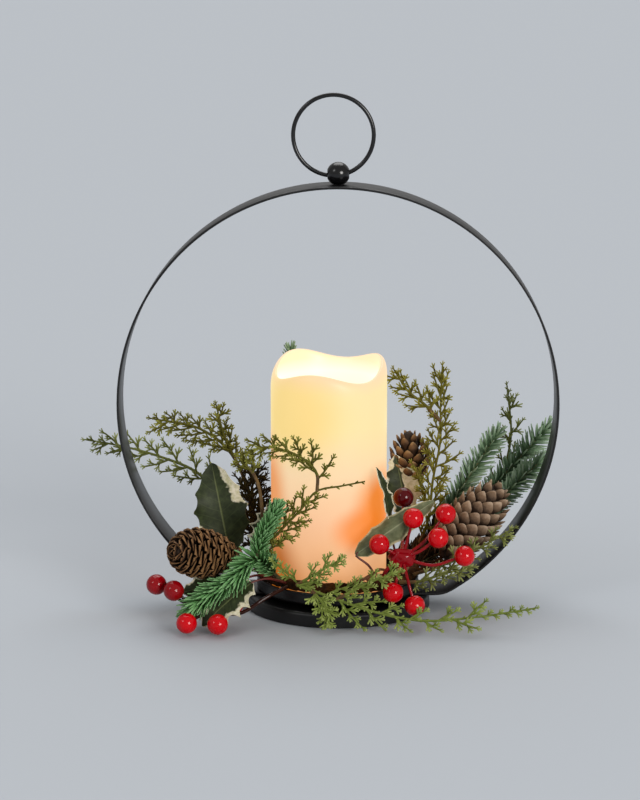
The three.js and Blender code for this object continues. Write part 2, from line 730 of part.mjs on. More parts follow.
// Holly: a petiole that widens into a blade, hollow between its spines and folded along the midrib
const leafMesh = (spec, root, grow) => {
  const mesh = newMesh();
  const base = fromRoot(root, spec.base);
  const tip = fromRoot(root, spec.tip);
  const along = tip.clone().sub(base);
  const across = along.clone().cross(new THREE.Vector3(...spec.face)).normalize();
  const up = across.clone().cross(along).normalize();
  const petiole = new THREE.CatmullRomCurve3([root, fromRoot(root, spec.bend), base]);
  const petioleStations = evenShares(petioleSteps).slice(0, -1)
    .map((share) => ({ rib: petiole.getPointAt(share), half: petioleRadius, thick: petioleRadius, fold: 0 }));
  const bladeStations = evenShares(leafSpines * 2).map((share, i) => {
    const margin = i % 2 === 1 ? spineMargin : hollowMargin;
    const arch = spec.bow * Math.sin(Math.PI * share);
    return {
      rib: base.clone().addScaledVector(along, share).addScaledVector(up, arch),
      half: leafStart + spec.width / 2 * Math.sin(Math.PI * share ** 0.85) ** 0.7 * margin,
      thick: leafThickness / 2,
      fold: spec.fold,
    };
  });
  const sections = [...petioleStations, ...bladeStations].map(({ rib, half, thick, fold }) => (
    [[-1, 1], [0, 1], [1, 1], [1, -1], [0, -1], [-1, -1]].map(([side, layer]) => addPlace(mesh, rib.clone()
      .addScaledVector(across, side * (half + grow))
      .addScaledVector(up, Math.abs(side) * fold * half + layer * (thick + grow))))
  ));
  for (let i = 0; i + 1 < sections.length; i += 1) {
    for (let k = 0; k < 6; k += 1) {
      const next = (k + 1) % 6;
      addWall(mesh, [sections[i][k], sections[i][next], sections[i + 1][next], sections[i + 1][k]]);
    }
  }
  [[...sections[0]].reverse(), sections[sections.length - 1]].forEach(([a, b, c, d, e, f]) => {
    addWall(mesh, [a, b, e, f]);
    addWall(mesh, [b, c, d, e]);
  });
  return mesh;
};

const addLeaf = (name, spec) => {
  const root = rootAt(spec.ring);
  addGreenery(name, root, (grow) => toSolid(meshGeometry(leafMesh(spec, root, grow))), hollyGreen());
};

// The first limb leaves the root, and the others leave the first at a share of its length
const limbPoints = (spec) => {
  const root = rootAt(spec.ring);
  const paths = spec.limbs.map((limb) => limb.path.map((offset) => fromRoot(root, offset)));
  const main = new THREE.CatmullRomCurve3([root, ...paths[0]]);
  return spec.limbs.map((limb, i) => [main.getPointAt(limb.from ?? 0), ...paths[i]]);
};
const joinLimbs = (spec, limbMesh) => (grow) => joinAll(limbPoints(spec).map(
  (points, i) => toSolid(meshGeometry(limbMesh(points, spec.limbs[i], grow))),
));

// Cedar: side branches left and right in the plane of the fan, each forked in three
const cedarMesh = (spec) => (points, limb, grow) => {
  const face = new THREE.Vector3(...spec.face).normalize();
  const length = new THREE.CatmullRomCurve3(points).getLength();
  const halfFoot = (branchRadius + grow) / length;
  const forkStep = (lastFork - limb.bare) / limb.branches;
  const forks = Array.from({ length: limb.branches }, (_, i) => limb.bare + i * forkStep);
  const bareShares = evenShares(limb.bareSteps).slice(0, -1).map((share) => share * (limb.bare - bareEnd));
  const shares = [...bareShares, ...forks.flatMap((share) => [share - halfFoot, share + halfFoot]), 1];
  const branch = (share, side) => (mesh, corners, curve) => {
    const tangent = curve.getTangentAt(share);
    const out = tangent.clone().cross(face).normalize().multiplyScalar(side);
    const heading = tangent.clone().multiplyScalar(Math.cos(branchAngle))
      .addScaledVector(out, Math.sin(branchAngle));
    const across = heading.clone().cross(face).normalize();
    const front = across.clone().cross(heading);
    const from = curve.getPointAt(share);
    const reach = limb.reach * (reachAtFoot - reachLoss * (share - limb.bare) / (1 - limb.bare));
    const sectionAt = (distance, radius) => {
      const centre = from.clone().addScaledVector(heading, distance);
      const [a, b, c, d] = addSection(mesh, centre, across, front, radius);
      return side > 0 ? [d, a, b, c] : [b, c, d, a];
    };
    const lower = sectionAt(twigPlace * reach - grow, cedarTipRadius + grow);
    const upper = sectionAt(twigPlace * reach + 2 * cedarTipRadius + grow, cedarTipRadius + grow);
    [0, 1, 2, 3].forEach((k) => addWall(mesh, wallCorners(corners, lower, k)));
    [0, 1, 2, 3].forEach((k) => {
      const wall = wallCorners(lower, upper, k);
      const middle = middleOf(mesh, wall);
      const outward = middle.clone().sub(from).projectOnVector(across);
      if (outward.length() > 0.3 * cedarTipRadius) {
        const tip = middle.addScaledVector(outward.normalize(), twigLength * reach * Math.sin(branchAngle))
          .addScaledVector(heading, twigLength * reach * Math.cos(branchAngle));
        addSpike(mesh, wall, tip, grow);
      } else {
        addWall(mesh, wall);
      }
    });
    addSpike(mesh, upper, from.clone().addScaledVector(heading, reach), grow);
  };
  return stemMesh(points, {
    shares,
    startRadius: cedarStemRadius + grow,
    endRadius: cedarTipRadius + grow,
    face,
    shootAt: (i, k) => {
      const fork = (i - bareShares.length) / 2;
      if (!Number.isInteger(fork) || fork < 0 || fork >= forks.length || k % 2 === 0) {
        return null;
      }
      const side = k === 3 ? 1 : -1;
      return (fork % 2 === 0) === (side > 0) ? branch(forks[fork], side) : null;
    },
  });
};

const addCedar = (name, spec) => (
  addGreenery(name, rootAt(spec.ring), joinLimbs(spec, cedarMesh(spec)), cedarGreen())
);

// Pine: a stem that turns as it goes, with two needles from every segment, leaning towards the tip
const pineMesh = (points, limb, grow) => {
  const whorlShares = evenShares(limb.whorls).map((share) => limb.bare + (1 - limb.bare) * share);
  const shares = [0, 0.5 * limb.bare, ...whorlShares];
  const needle = (mesh, corners) => {
    const middle = middleOf(mesh, corners);
    const heading = mesh.places[corners[3]].clone().sub(mesh.places[corners[0]]).normalize();
    const across = mesh.places[corners[1]].clone().sub(mesh.places[corners[0]]).normalize();
    const outward = heading.clone().cross(across).normalize();
    addSpike(mesh, corners, middle
      .addScaledVector(heading, needleLength * Math.cos(needleAngle))
      .addScaledVector(outward, needleLength * Math.sin(needleAngle)), grow);
  };
  return stemMesh(points, {
    shares,
    startRadius: cedarStemRadius + grow,
    endRadius: cedarTipRadius + grow,
    face: new THREE.Vector3(0, -1, 0.3).normalize(),
    twist: needleTwist,
    shootAt: (i, k) => (i >= 2 && (i + k) % 2 === 0 ? needle : null),
  });
};

const addPine = (name, spec) => (
  addGreenery(name, rootAt(spec.ring), joinLimbs(spec, pineMesh), pineGreen())
);

// Where everything on the wreath grows: ring angle in degrees, then offsets from the root in millimetres
const stalksLeft = addBerries('left', {
  ring: 234,
  path: [[-16, -11, -6], [-33, -17, -15]],
  fork: [-50, -21, -13],
  berries: [[-87, -13, 3], [-75, -24, 2], [-66, -37, -16], [-46, -39, -16], [-37, -15, -9]],
  bows: [[0, 0, -3], [0, 0, -3], [0, 0, 1], [0, 0, 1], [-2, 1, -2]],
});
const stalksRight = addBerries('right', {
  ring: 308,
  path: [[0, -6, 10]],
  fork: [11, -8, 20],
  berries: [
    [-4, -12, 30], [18, -6, 46], [39, -2, 48], [34, -14, 35],
    [51, -14, 23], [5, -20, 0], [19, -22, -8], [12, 22, 53],
  ],
  bows: [
    [0, -1, 0], [0, 0, 0], [0, 0, -4], [0, 0, -2],
    [0, -2, -5], [0, -3, 0], [0, -4, 0], [0, 6, -6],
  ],
});

addCone('cone_left', {
  ring: 200, wire: [-9, -8, 9], base: [-17, -15, 16], tip: [-57, -45, 28],
  radius: 17, widest: 0.62, rows: 8, columns: 8,
});
addCone('cone_right', {
  ring: 352, wire: [10, -3, 4], base: [19, -4, 11], tip: [58, 14, 54],
  radius: 17.5, widest: 0.5, rows: 8, columns: 8,
});
addCone('cone_back', {
  ring: 38, wire: [9, 9, 24], base: [10, 9, 52], tip: [7, 11, 84],
  radius: 13, widest: 0.5, rows: 7, columns: 6,
});

addLeaf('holly_left_up', {
  ring: 194, bend: [-14, -4, 5], base: [-22, -4, 14], tip: [-34, 6, 73],
  face: [0.1, -1, 0.1], width: 33, bow: 2, fold: 0.15,
});
addLeaf('holly_left_low', {
  ring: 232, bend: [-14, -13, 7], base: [-23, -18, 6], tip: [-55, -31, -20],
  face: [0, -0.75, 0.65], width: 26, bow: 3, fold: 0.15,
});
addLeaf('holly_left_mid', {
  ring: 216, bend: [-12, -12, 6], base: [-25, -20, 3], tip: [-59, -26, -2],
  face: [-0.2, -0.7, 0.7], width: 22, bow: 2, fold: 0.1,
});
addLeaf('holly_left_behind', {
  ring: 212, bend: [-8, -8, 7], base: [-9, -10, 17], tip: [3, -7, 54],
  face: [-0.3, -1, 0.2], width: 20, bow: 2, fold: 0.15,
});
addLeaf('holly_right_front', {
  ring: 302, bend: [-6, -4, 14], base: [-9, -4, 26], tip: [36, 7, 55],
  face: [0.2, -1, 0.5], width: 24, bow: 3, fold: -0.2,
});
addLeaf('holly_right_edge', {
  ring: 322, bend: [-2, -1, 18], base: [-6, -2, 36], tip: [-15, 1, 71],
  face: [1, -0.35, 0.1], width: 17, bow: 2, fold: 0.2,
});
addLeaf('holly_back', {
  ring: 24, bend: [1, 7, 14], base: [0, 9, 29], tip: [-8, 13, 70],
  face: [0.1, -1, 0.1], width: 24, bow: 2, fold: 0.1,
});

stalksLeft();
stalksRight();

addCedar('cedar_left_long', {
  ring: 176,
  face: [0.1, -1, 0.25],
  limbs: [{
    path: [[-11, -2, 5], [-27, 2, 45], [-44, 14, 61], [-70, 23, 70], [-95, 27, 76], [-120, 29, 80]],
    bare: 0.42, bareSteps: 4, branches: 8, reach: 24,
  }],
});
addCedar('cedar_left_arch', {
  ring: 158,
  face: [0, -1, 0.2],
  limbs: [
    {
      path: [[-7, 1, 14], [-15, 9, 50], [-27, 14, 73], [-48, 16, 88], [-79, 17, 94]],
      bare: 0.55, bareSteps: 4, branches: 6, reach: 25,
    },
    { from: 0.48, path: [[-30, 14, 83], [-35, 15, 103]], bare: 0.2, bareSteps: 2, branches: 4, reach: 15 },
  ],
});
addCedar('cedar_left_dark', {
  ring: 168,
  face: [0.1, -1, 0.1],
  limbs: [{ path: [[-4, 1, 12], [-7, 3, 40], [-8, 7, 63]], bare: 0.3, bareSteps: 2, branches: 5, reach: 20 }],
});
addCedar('cedar_front_fan', {
  ring: 222,
  face: [0, -1, 0.1],
  limbs: [
    {
      path: [[-11, -14, 21], [2, -16, 39], [14, -17, 52], [25, -17, 65], [40, -16, 68], [56, -15, 71]],
      bare: 0.42, bareSteps: 3, branches: 6, reach: 15,
    },
    {
      from: 0.73, path: [[25, -17, 76], [19, -17, 85], [6, -16, 91], [-7, -14, 102]],
      bare: 0.2, bareSteps: 2, branches: 6, reach: 18,
    },
    {
      from: 0.25, path: [[-11, -11, 54], [-15, -9, 72], [-26, -6, 84]],
      bare: 0.55, bareSteps: 2, branches: 4, reach: 15,
    },
  ],
});
addCedar('cedar_front_low', {
  ring: 244,
  face: [0, -0.8, 0.6],
  limbs: [{
    path: [[-3, -12, 4], [18, -18, -2], [45, -23, -10], [76, -27, -15], [111, -29, -12], [150, -28, -6]],
    bare: 0.14, bareSteps: 2, branches: 10, reach: 22,
  }],
});
addCedar('cedar_right_tall', {
  ring: 18,
  face: [0, -1, 0.1],
  limbs: [
    {
      path: [[12, 0, 29], [15, 2, 56], [20, 6, 83], [20, 10, 106], [21, 11, 132]],
      bare: 0.32, bareSteps: 3, branches: 7, reach: 17,
    },
    {
      from: 0.73, path: [[9, 9, 107], [-2, 9, 116], [-11, 8, 130]],
      bare: 0.2, bareSteps: 2, branches: 4, reach: 16,
    },
  ],
});
addCedar('cedar_right_far', {
  ring: 40,
  face: [0, -1, 0.1],
  limbs: [{
    path: [[41, 11, 5], [68, 15, 43], [78, 15, 78], [75, 15, 115]],
    bare: 0.5, bareSteps: 4, branches: 6, reach: 18,
  }],
});
addCedar('cedar_right_low', {
  ring: 318,
  face: [0, -0.9, 0.5],
  limbs: [{
    path: [[16, -6, 2], [32, -8, 8], [50, -8, 12]],
    bare: 0.25, bareSteps: 2, branches: 5, reach: 16,
  }],
});
addCedar('cedar_right_strap', {
  ring: 338,
  face: [0, -1, 0.3],
  limbs: [{
    path: [[20, -5, 8], [45, -8, 21], [68, -10, 35]],
    bare: 0.3, bareSteps: 2, branches: 5, reach: 14,
  }],
});

addPine('pine_left', {
  ring: 226,
  limbs: [
    { path: [[-17, -17, 20], [-32, -25, 8], [-46, -29, 0], [-60, -31, -11]], bare: 0.3, whorls: 14 },
    { from: 0.36, path: [[-13, -19, 34], [-3, -17, 54]], bare: 0.1, whorls: 8 },
  ],
});
addPine('pine_right_upper', {
  ring: 16, limbs: [{ path: [[17, 6, 21], [34, 11, 49], [58, 12, 87]], bare: 0.3, whorls: 16 }],
});
addPine('pine_right_outer', {
  ring: 32, limbs: [{ path: [[36, 5, 18], [66, 10, 52], [98, 9, 89]], bare: 0.3, whorls: 18 }],
});
addPine('pine_right_front', {
  ring: 4, limbs: [{ path: [[33, 12, 16], [61, 18, 45], [85, 19, 69]], bare: 0.35, whorls: 14 }],
});
addPine('pine_back', {
  ring: 100, limbs: [{ path: [[-3, 4, 5], [-15, 7, 72], [-24, 5, 137]], bare: 0.5, whorls: 14 }],
});

export default lantern;
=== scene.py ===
"""A hoop lantern with a battery candle and an evergreen wreath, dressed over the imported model.

Metres, +Z up, front towards -Y. The origin is on the floor under the middle of the foot.
"""

import math
import random

import bpy
import numpy as np
from mathutils import Matrix, Vector


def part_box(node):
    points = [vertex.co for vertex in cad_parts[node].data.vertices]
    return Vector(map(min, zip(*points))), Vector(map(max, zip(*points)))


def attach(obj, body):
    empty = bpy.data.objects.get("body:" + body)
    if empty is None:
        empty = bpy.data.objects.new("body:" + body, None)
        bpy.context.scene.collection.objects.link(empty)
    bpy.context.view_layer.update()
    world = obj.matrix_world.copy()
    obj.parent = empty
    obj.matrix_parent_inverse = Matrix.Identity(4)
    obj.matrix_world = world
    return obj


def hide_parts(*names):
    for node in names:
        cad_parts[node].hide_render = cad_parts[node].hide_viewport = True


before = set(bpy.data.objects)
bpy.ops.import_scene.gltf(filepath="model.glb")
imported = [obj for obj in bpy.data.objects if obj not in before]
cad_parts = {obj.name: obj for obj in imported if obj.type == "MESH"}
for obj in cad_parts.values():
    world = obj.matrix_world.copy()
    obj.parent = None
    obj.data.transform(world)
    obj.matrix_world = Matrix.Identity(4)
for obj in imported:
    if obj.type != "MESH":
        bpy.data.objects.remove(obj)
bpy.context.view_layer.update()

MM = 0.001
TINY = MM * MM
UP = Vector((0, 0, 1))

# Frame sizes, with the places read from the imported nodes
HOOP_RADIUS = 145 * MM
STRAP_THICKNESS = 1.5 * MM
hoop_low, hoop_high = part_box("hoop_band")
HOOP_CENTRE = hoop_high.z - HOOP_RADIUS
STRAP_WIDTH = hoop_high.y - hoop_low.y
STRAP_UNDERSIDE = hoop_low.z

BALL_RADIUS = 7.7 * MM
ball_low, ball_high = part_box("finial_ball")
BALL_HEIGHT = ball_high.z - BALL_RADIUS
RING_WIRE = 1.4 * MM
RING_RADIUS = 26.1 * MM
ring_low, ring_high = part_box("hanging_ring")
RING_CENTRE = (ring_low + ring_high) / 2
CROSS_HOLE = 2.95 * MM

SHEET = 1.2 * MM
PRESS = 2.5 * MM
foot_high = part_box("base_foot")[1]
FOOT_RADIUS = foot_high.x
FOOT_HEIGHT = foot_high.z
tray_low, tray_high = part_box("candle_tray")
TRAY_RADIUS = tray_high.x

shell_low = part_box("candle_shell")[0]
CANDLE_RADIUS = 38.4 * MM
CANDLE_HEIGHT = 148.5 * MM
CANDLE_AXIS = Vector((-6 * MM, 0, shell_low.z))
WELL_FLOOR = CANDLE_HEIGHT - 32 * MM

WREATH_RADIUS = 51 * MM
WREATH_TUBE = 3.8 * MM
wreath_low, wreath_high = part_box("wreath_ring")
WREATH_HEIGHT = (wreath_low.z + wreath_high.z) / 2


# Ways of working

def pick(piece):
    bpy.ops.object.select_all(action="DESELECT")
    piece.select_set(True)
    bpy.context.view_layer.objects.active = piece


def named(name):
    """The piece that was just made or joined, under its name."""
    piece = bpy.context.object
    piece.name = name
    piece.data.name = name
    return piece


def link_data(name, data):
    piece = bpy.data.objects.new(name, data)
    bpy.context.scene.collection.objects.link(piece)
    return piece


def apply_modifiers(piece):
    pick(piece)
    for modifier in list(piece.modifiers):
        bpy.ops.object.modifier_apply(modifier=modifier.name)
    return piece


def apply_place():
    """Moves the picked piece's place and turn into its mesh."""
    bpy.ops.object.transform_apply(location=True, rotation=True, scale=True)


def start_edit():
    """Edit mode, with the whole mesh selected."""
    bpy.ops.object.mode_set(mode="EDIT")
    bpy.ops.mesh.select_all(action="SELECT")


def end_edit():
    bpy.ops.object.mode_set(mode="OBJECT")


def weld(threshold):
    """Joins the points that meet and turns all faces outward."""
    bpy.ops.mesh.select_all(action="SELECT")
    bpy.ops.mesh.remove_doubles(threshold=threshold)
    bpy.ops.mesh.normals_make_consistent(inside=False)


def thicken(piece, thickness, offset):
    """Makes a sheet solid, to both sides of it where offset is 0 and inward where it is -1."""
    body = piece.modifiers.new("body", "SOLIDIFY")
    body.thickness = thickness
    body.offset = offset
    return body


def smooth(piece, degrees):
    pick(piece)
    bpy.ops.object.shade_smooth_by_angle(angle=math.radians(degrees))
    return piece


def set_places(piece, move):
    """Moves every vertex of a piece to move(place)."""
    for vertex in piece.data.vertices:
        vertex.co = move(vertex.co.copy())
    piece.data.update()
    return piece


def set_values(mesh, name, values):
    """Writes one number for each vertex, which a finish reads by name."""
    mesh.attributes.new(name, "FLOAT", "POINT").data.foreach_set("value", values)


def join(pieces, name):
    pick(pieces[0])
    for piece in pieces[1:]:
        piece.select_set(True)
    bpy.ops.object.join()
    return named(name)


def dress(piece, body, slot, *nodes):
    """Hands a finished piece to its body and hides the nodes that it stands for; its slot is not used."""
    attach(piece, body)
    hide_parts(*nodes)


def paint(piece, *finishes):
    piece.data.materials.clear()
    for finish in finishes:
        piece.data.materials.append(finish)
    return piece


def mix(start, end, share):
    return start + (end - start) * share


def ease(low, high, value):
    """Rises smoothly from 0 at low to 1 at high."""
    share = min(max((value - low) / (high - low), 0), 1)
    return share * share * (3 - 2 * share)


def leaning(along, out, angle):
    """A direction that leans off along, towards out."""
    return along * math.cos(angle) + out * math.sin(angle)


def arc(r, z, radius, start, end, steps):
    """Points (r, z) on an arc, with angles in degrees."""
    angles = [math.radians(mix(start, end, i / steps)) for i in range(steps + 1)]
    return [(r + radius * math.cos(a), z + radius * math.sin(a)) for a in angles]


def lathe(name, profile, steps):
    """A profile of (radius, height) points spun round the upright axis."""
    bpy.ops.mesh.primitive_plane_add(size=MM)
    start_edit()
    bpy.ops.mesh.merge(type="CENTER")
    bpy.ops.transform.translate(value=(profile[0][0], 0, profile[0][1]))
    for (r0, z0), (r1, z1) in zip(profile, profile[1:]):
        bpy.ops.mesh.extrude_region_move(TRANSFORM_OT_translate={"value": (r1 - r0, 0, z1 - z0)})
    bpy.ops.mesh.select_all(action="SELECT")
    bpy.ops.mesh.spin(steps=steps, angle=2 * math.pi, center=(0, 0, 0), axis=UP)
    weld(0.002 * MM)
    end_edit()
    return named(name)


def between(before, start, end, after, share):
    """A place on the centripetal spline from start to end."""
    pairs = ((before, start), (start, end), (end, after))
    gap_before, gap, gap_after = (max((b - a).length, TINY) ** 0.5 for a, b in pairs)
    leave = ((start - before) / gap_before - (end - before) / (gap_before + gap) + (end - start) / gap) * gap
    arrive = ((end - start) / gap - (after - start) / (gap + gap_after) + (after - end) / gap_after) * gap
    square = share ** 2
    cube = share ** 3
    return ((2 * cube - 3 * square + 1) * start + (cube - 2 * square + share) * leave
            + (3 * square - 2 * cube) * end + (cube - square) * arrive)


class Route:
    """A smooth line through points, measured along its length."""

    def __init__(self, points, steps=12):
        knots = [2 * points[0] - points[1], *points, 2 * points[-1] - points[-2]]
        self.places = [points[0].copy()]
        for four in zip(knots, knots[1:], knots[2:], knots[3:]):
            self.places += [between(*four, (i + 1) / steps) for i in range(steps)]
        self.marks = [0.0]
        for a, b in zip(self.places, self.places[1:]):
            self.marks.append(self.marks[-1] + (b - a).length)
        self.length = self.marks[-1]

    def at(self, share):
        mark = share * self.length
        k = int(np.searchsorted(self.marks, mark))
        k = min(max(k, 1), len(self.marks) - 1)
        part = (mark - self.marks[k - 1]) / max(self.marks[k] - self.marks[k - 1], TINY)
        return self.places[k - 1].lerp(self.places[k], part)

    def heading(self, share):
        step = 0.02
        return (self.at(min(1, share + step)) - self.at(max(0, share - step))).normalized()

    def strand(self, count, start_radius, end_radius, to=1.0):
        """Places along the line up to a share of it, each with a radius."""
        shares = [to * i / (count - 1) for i in range(count)]
        return [(self.at(s), mix(start_radius, end_radius, s)) for s in shares]


def strands_piece(name, strands, fineness=1):
    """Round strands, each a list of (place, radius), as one mesh."""
    curve = bpy.data.curves.new(name, "CURVE")
    curve.dimensions = "3D"
    curve.bevel_depth = 1.0
    curve.bevel_resolution = fineness
    curve.use_fill_caps = True
    for strand in strands:
        spline = curve.splines.new("POLY")
        spline.points.add(len(strand) - 1)
        for knot, (place, radius) in zip(spline.points, strand):
            knot.co = (*place, 1.0)
            knot.radius = radius
    pick(link_data(name, curve))
    bpy.ops.object.convert(target="MESH")
    return named(name)


class Pattern:
    """A small modelled shape, taken off its object to be repeated, whose length runs along +Z.

    level(place) says how pale each vertex is, from 0 to 1; without it, that is its share of the length.
    """

    def __init__(self, piece, level=None):
        mesh = piece.data
        self.places = np.array([vertex.co[:] for vertex in mesh.vertices])
        self.faces = [tuple(face.vertices) for face in mesh.polygons]
        self.length = self.places[:, 2].max()
        levels = [level(vertex.co) if level else vertex.co.z / self.length for vertex in mesh.vertices]
        self.tips = np.clip(levels, 0, 1)
        bpy.data.objects.remove(piece)

    def repeated(self, name, placements, rng):
        """One mesh with a copy at every placement, with each vertex's paleness and each copy's shade."""
        count = len(self.places)
        places = [self.places @ np.array(spot.to_3x3()).T + np.array(spot.translation) for spot in placements]
        faces = [tuple(corner + k * count for corner in face)
                 for k in range(len(placements)) for face in self.faces]
        mesh = bpy.data.meshes.new(name)
        mesh.from_pydata(np.concatenate(places).tolist(), [], faces)
        set_values(mesh, "tip", np.tile(self.tips, len(placements)))
        set_values(mesh, "shade", np.repeat([rng.random() for _ in placements], count))
        return link_data(name, mesh)


def placement(place, heading, face, length_scale, width_scale):
    """A matrix that stands a pattern at a place, along heading, with its +Y towards face."""
    along = heading.normalized()
    side = face.cross(along).normalized()
    front = along.cross(side).normalized()
    turn = Matrix((side * width_scale, front * width_scale, along * length_scale)).transposed()
    return Matrix.Translation(place) @ turn.to_4x4()


# Finishes

def tone(red, green, blue):
    """A colour as seen, from 0 to 255, as the scene's linear light."""
    def linear(value):
        share = value / 255
        return share / 12.92 if share <= 0.04045 else ((share + 0.055) / 1.055) ** 2.4
    return (linear(red), linear(green), linear(blue), 1.0)


def grey(value):
    return (value, value, value, 1.0)


def darker(color, share):
    return tuple(value * share for value in color[:3]) + (1.0,)


# A colour mix node's sockets
MIX_FACTOR, MIX_A, MIX_B, MIX_RESULT = 0, 6, 7, 2


class Finish:
    """A material with short ways to add and join its nodes."""

    def __init__(self, name, color, roughness, **sockets):
        self.material = bpy.data.materials.new(name)
        self.material.use_nodes = True
        self.tree = self.material.node_tree
        self.shader = self.tree.nodes["Principled BSDF"]
        self.shader.inputs["Base Color"].default_value = color
        self.shader.inputs["Roughness"].default_value = roughness
        for socket, value in sockets.items():
            self.shader.inputs[socket.replace("_", " ")].default_value = value

    def node(self, kind, **settings):
        node = self.tree.nodes.new(kind)
        for setting, value in settings.items():
            setattr(node, setting, value)
        return node

    def feed(self, value, target):
        """Joins an output to a socket or sets its plain value; a name stands for the shader's socket."""
        if isinstance(target, str):
            target = self.shader.inputs[target]
        if isinstance(value, bpy.types.NodeSocket):
            self.tree.links.new(value, target)
        else:
            target.default_value = value

    def coordinates(self, kind="Object"):
        return self.node("ShaderNodeTexCoord").outputs[kind]

    def attribute(self, name):
        return self.node("ShaderNodeAttribute", attribute_name=name).outputs["Fac"]

    def placed(self, location, scale):
        """Object coordinates moved and scaled, so that location comes to the origin."""
        mapping = self.node("ShaderNodeMapping", vector_type="TEXTURE")
        for socket, value in (("Vector", self.coordinates()), ("Location", location), ("Scale", scale)):
            self.feed(value, mapping.inputs[socket])
        return mapping.outputs[0]

    def parts(self, vector):
        """The X, Y and Z of a vector, by name."""
        split = self.node("ShaderNodeSeparateXYZ")
        self.feed(vector, split.inputs[0])
        return split.outputs

    def noise(self, scale, detail):
        noise = self.node("ShaderNodeTexNoise")
        for socket, value in (("Vector", self.coordinates()), ("Scale", scale), ("Detail", detail)):
            self.feed(value, noise.inputs[socket])
        return noise.outputs[0]

    def calc(self, operation, *values, clamp=False):
        node = self.node("ShaderNodeMath", operation=operation, use_clamp=clamp)
        for value, socket in zip(values, node.inputs):
            self.feed(value, socket)
        return node.outputs[0]

    def drift(self, value, amount):
        """A value from 0 to 1 as a shift of up to half of amount down or up."""
        return self.calc("MULTIPLY", self.calc("SUBTRACT", value, 0.5), amount)

    def ramp(self, factor, stops, smooth_steps=False):
        """stops: (place, colour) pairs."""
        ramp = self.node("ShaderNodeValToRGB")
        if smooth_steps:
            ramp.color_ramp.interpolation = "EASE"
        elements = ramp.color_ramp.elements
        while len(elements) < len(stops):
            elements.new(0.5)
        for element, (place, color) in zip(elements, stops):
            element.position = place
            element.color = color
        self.feed(factor, ramp.inputs["Fac"])
        return ramp.outputs["Color"]

    def mottle(self, scale, detail, stops):
        return self.ramp(self.noise(scale, detail), stops)

    def blend(self, factor, a, b):
        node = self.node("ShaderNodeMix", data_type="RGBA")
        for value, k in ((factor, MIX_FACTOR), (a, MIX_A), (b, MIX_B)):
            self.feed(value, node.inputs[k])
        return node.outputs[MIX_RESULT]

    def bump(self, height, strength, depth):
        """Raises the surface with a height from 0 to 1; depth in mm."""
        bump = self.node("ShaderNodeBump")
        for socket, value in (("Strength", strength), ("Distance", depth * MM), ("Height", height)):
            self.feed(value, bump.inputs[socket])
        self.feed(bump.outputs[0], "Normal")

    def grain(self, scale, detail, strength, depth):
        self.bump(self.noise(scale, detail), strength, depth)


def black_metal(name, smoothest, roughest, shine):
    """Black paint, a little smoother in some places than in others."""
    finish = Finish(name, tone(11, 11, 12), roughest, Specular_IOR_Level=shine)
    finish.feed(finish.mottle(25, 3, [(0.3, grey(smoothest)), (0.7, grey(roughest))]), "Roughness")
    finish.grain(1500, 2, 0.08, 0.05)
    return finish.material


def simple(name, color, roughness, mottle=None, grain=None, **sockets):
    """A colour, with a mottle (scale, detail, stops) or grain (scale, detail, strength, depth) where given."""
    finish = Finish(name, color, roughness, **sockets)
    if mottle:
        finish.feed(finish.mottle(*mottle), "Base Color")
    if grain:
        finish.grain(*grain)
    return finish.material


def plain(name, color, roughness, metallic=0.0):
    """A plain finish with a slight unevenness."""
    stops = [(0.3, darker(color, 0.88)), (0.7, color)]
    return simple(name, color, roughness, (180, 3, stops), Metallic=metallic)


def woody_stem(name, dark, light):
    return simple(name, light, 0.75, (240, 4, [(0.3, dark), (0.75, light)]), (900, 3, 0.3, 0.2))


def berry_skin(name, color):
    stops = [(0.25, darker(color, 0.82)), (0.55, color)]
    return simple(name, color, 0.07, (60, 2, stops), (90, 1, 0.02, 0.3), Specular_IOR_Level=0.32)


def candle_height(finish):
    """How far up the candle a place is, from 0 to 1."""
    return finish.parts(finish.placed(CANDLE_AXIS, (1, 1, CANDLE_HEIGHT)))["Z"]


# Where the wall's light is deeper or yellower: colour, strength, and place and reach in mm from the foot
WAX_PATCHES = [
    ((255, 220, 122), 0.62, (-24, -28, 122), (50, 50, 40)),
    ((255, 138, 36), 0.95, (34, -18, 58), (30, 30, 34)),
    ((255, 132, 30), 0.85, (22, -31, 45), (26, 26, 20)),
    ((240, 152, 84), 0.9, (-38, -8, 60), (22, 30, 56)),
    ((186, 98, 22), 0.95, (-36, -16, 10), (32, 34, 44)),
]


def wax_wall():
    """Wax lit from within: yellow above, peach in the middle, deep orange where it is shaded low down."""
    finish = Finish("lit_wax_wall", tone(120, 88, 58), 0.42, Specular_IOR_Level=0.3, Emission_Strength=0.84)
    cloud = finish.drift(finish.noise(24, 2), 0.14)
    glow = finish.ramp(finish.calc("ADD", candle_height(finish), cloud), [
        (0.03, tone(222, 150, 88)),
        (0.16, tone(242, 182, 132)),
        (0.34, tone(252, 200, 158)),
        (0.55, tone(255, 224, 180)),
        (0.76, tone(255, 238, 178)),
        (0.92, tone(255, 238, 180)),
        (0.98, tone(255, 228, 190)),
    ])
    for color, strength, place, reach in WAX_PATCHES:
        patch = finish.node("ShaderNodeTexGradient", gradient_type="SPHERICAL")
        finish.feed(finish.placed(CANDLE_AXIS + Vector(place) * MM, Vector(reach) * MM), patch.inputs[0])
        weight = finish.ramp(patch.outputs["Fac"], [(0.0, grey(0)), (0.7, grey(strength))], smooth_steps=True)
        glow = finish.blend(weight, glow, tone(*color))
    finish.feed(glow, "Emission Color")
    finish.grain(120, 3, 0.06, 0.6)
    return finish.material


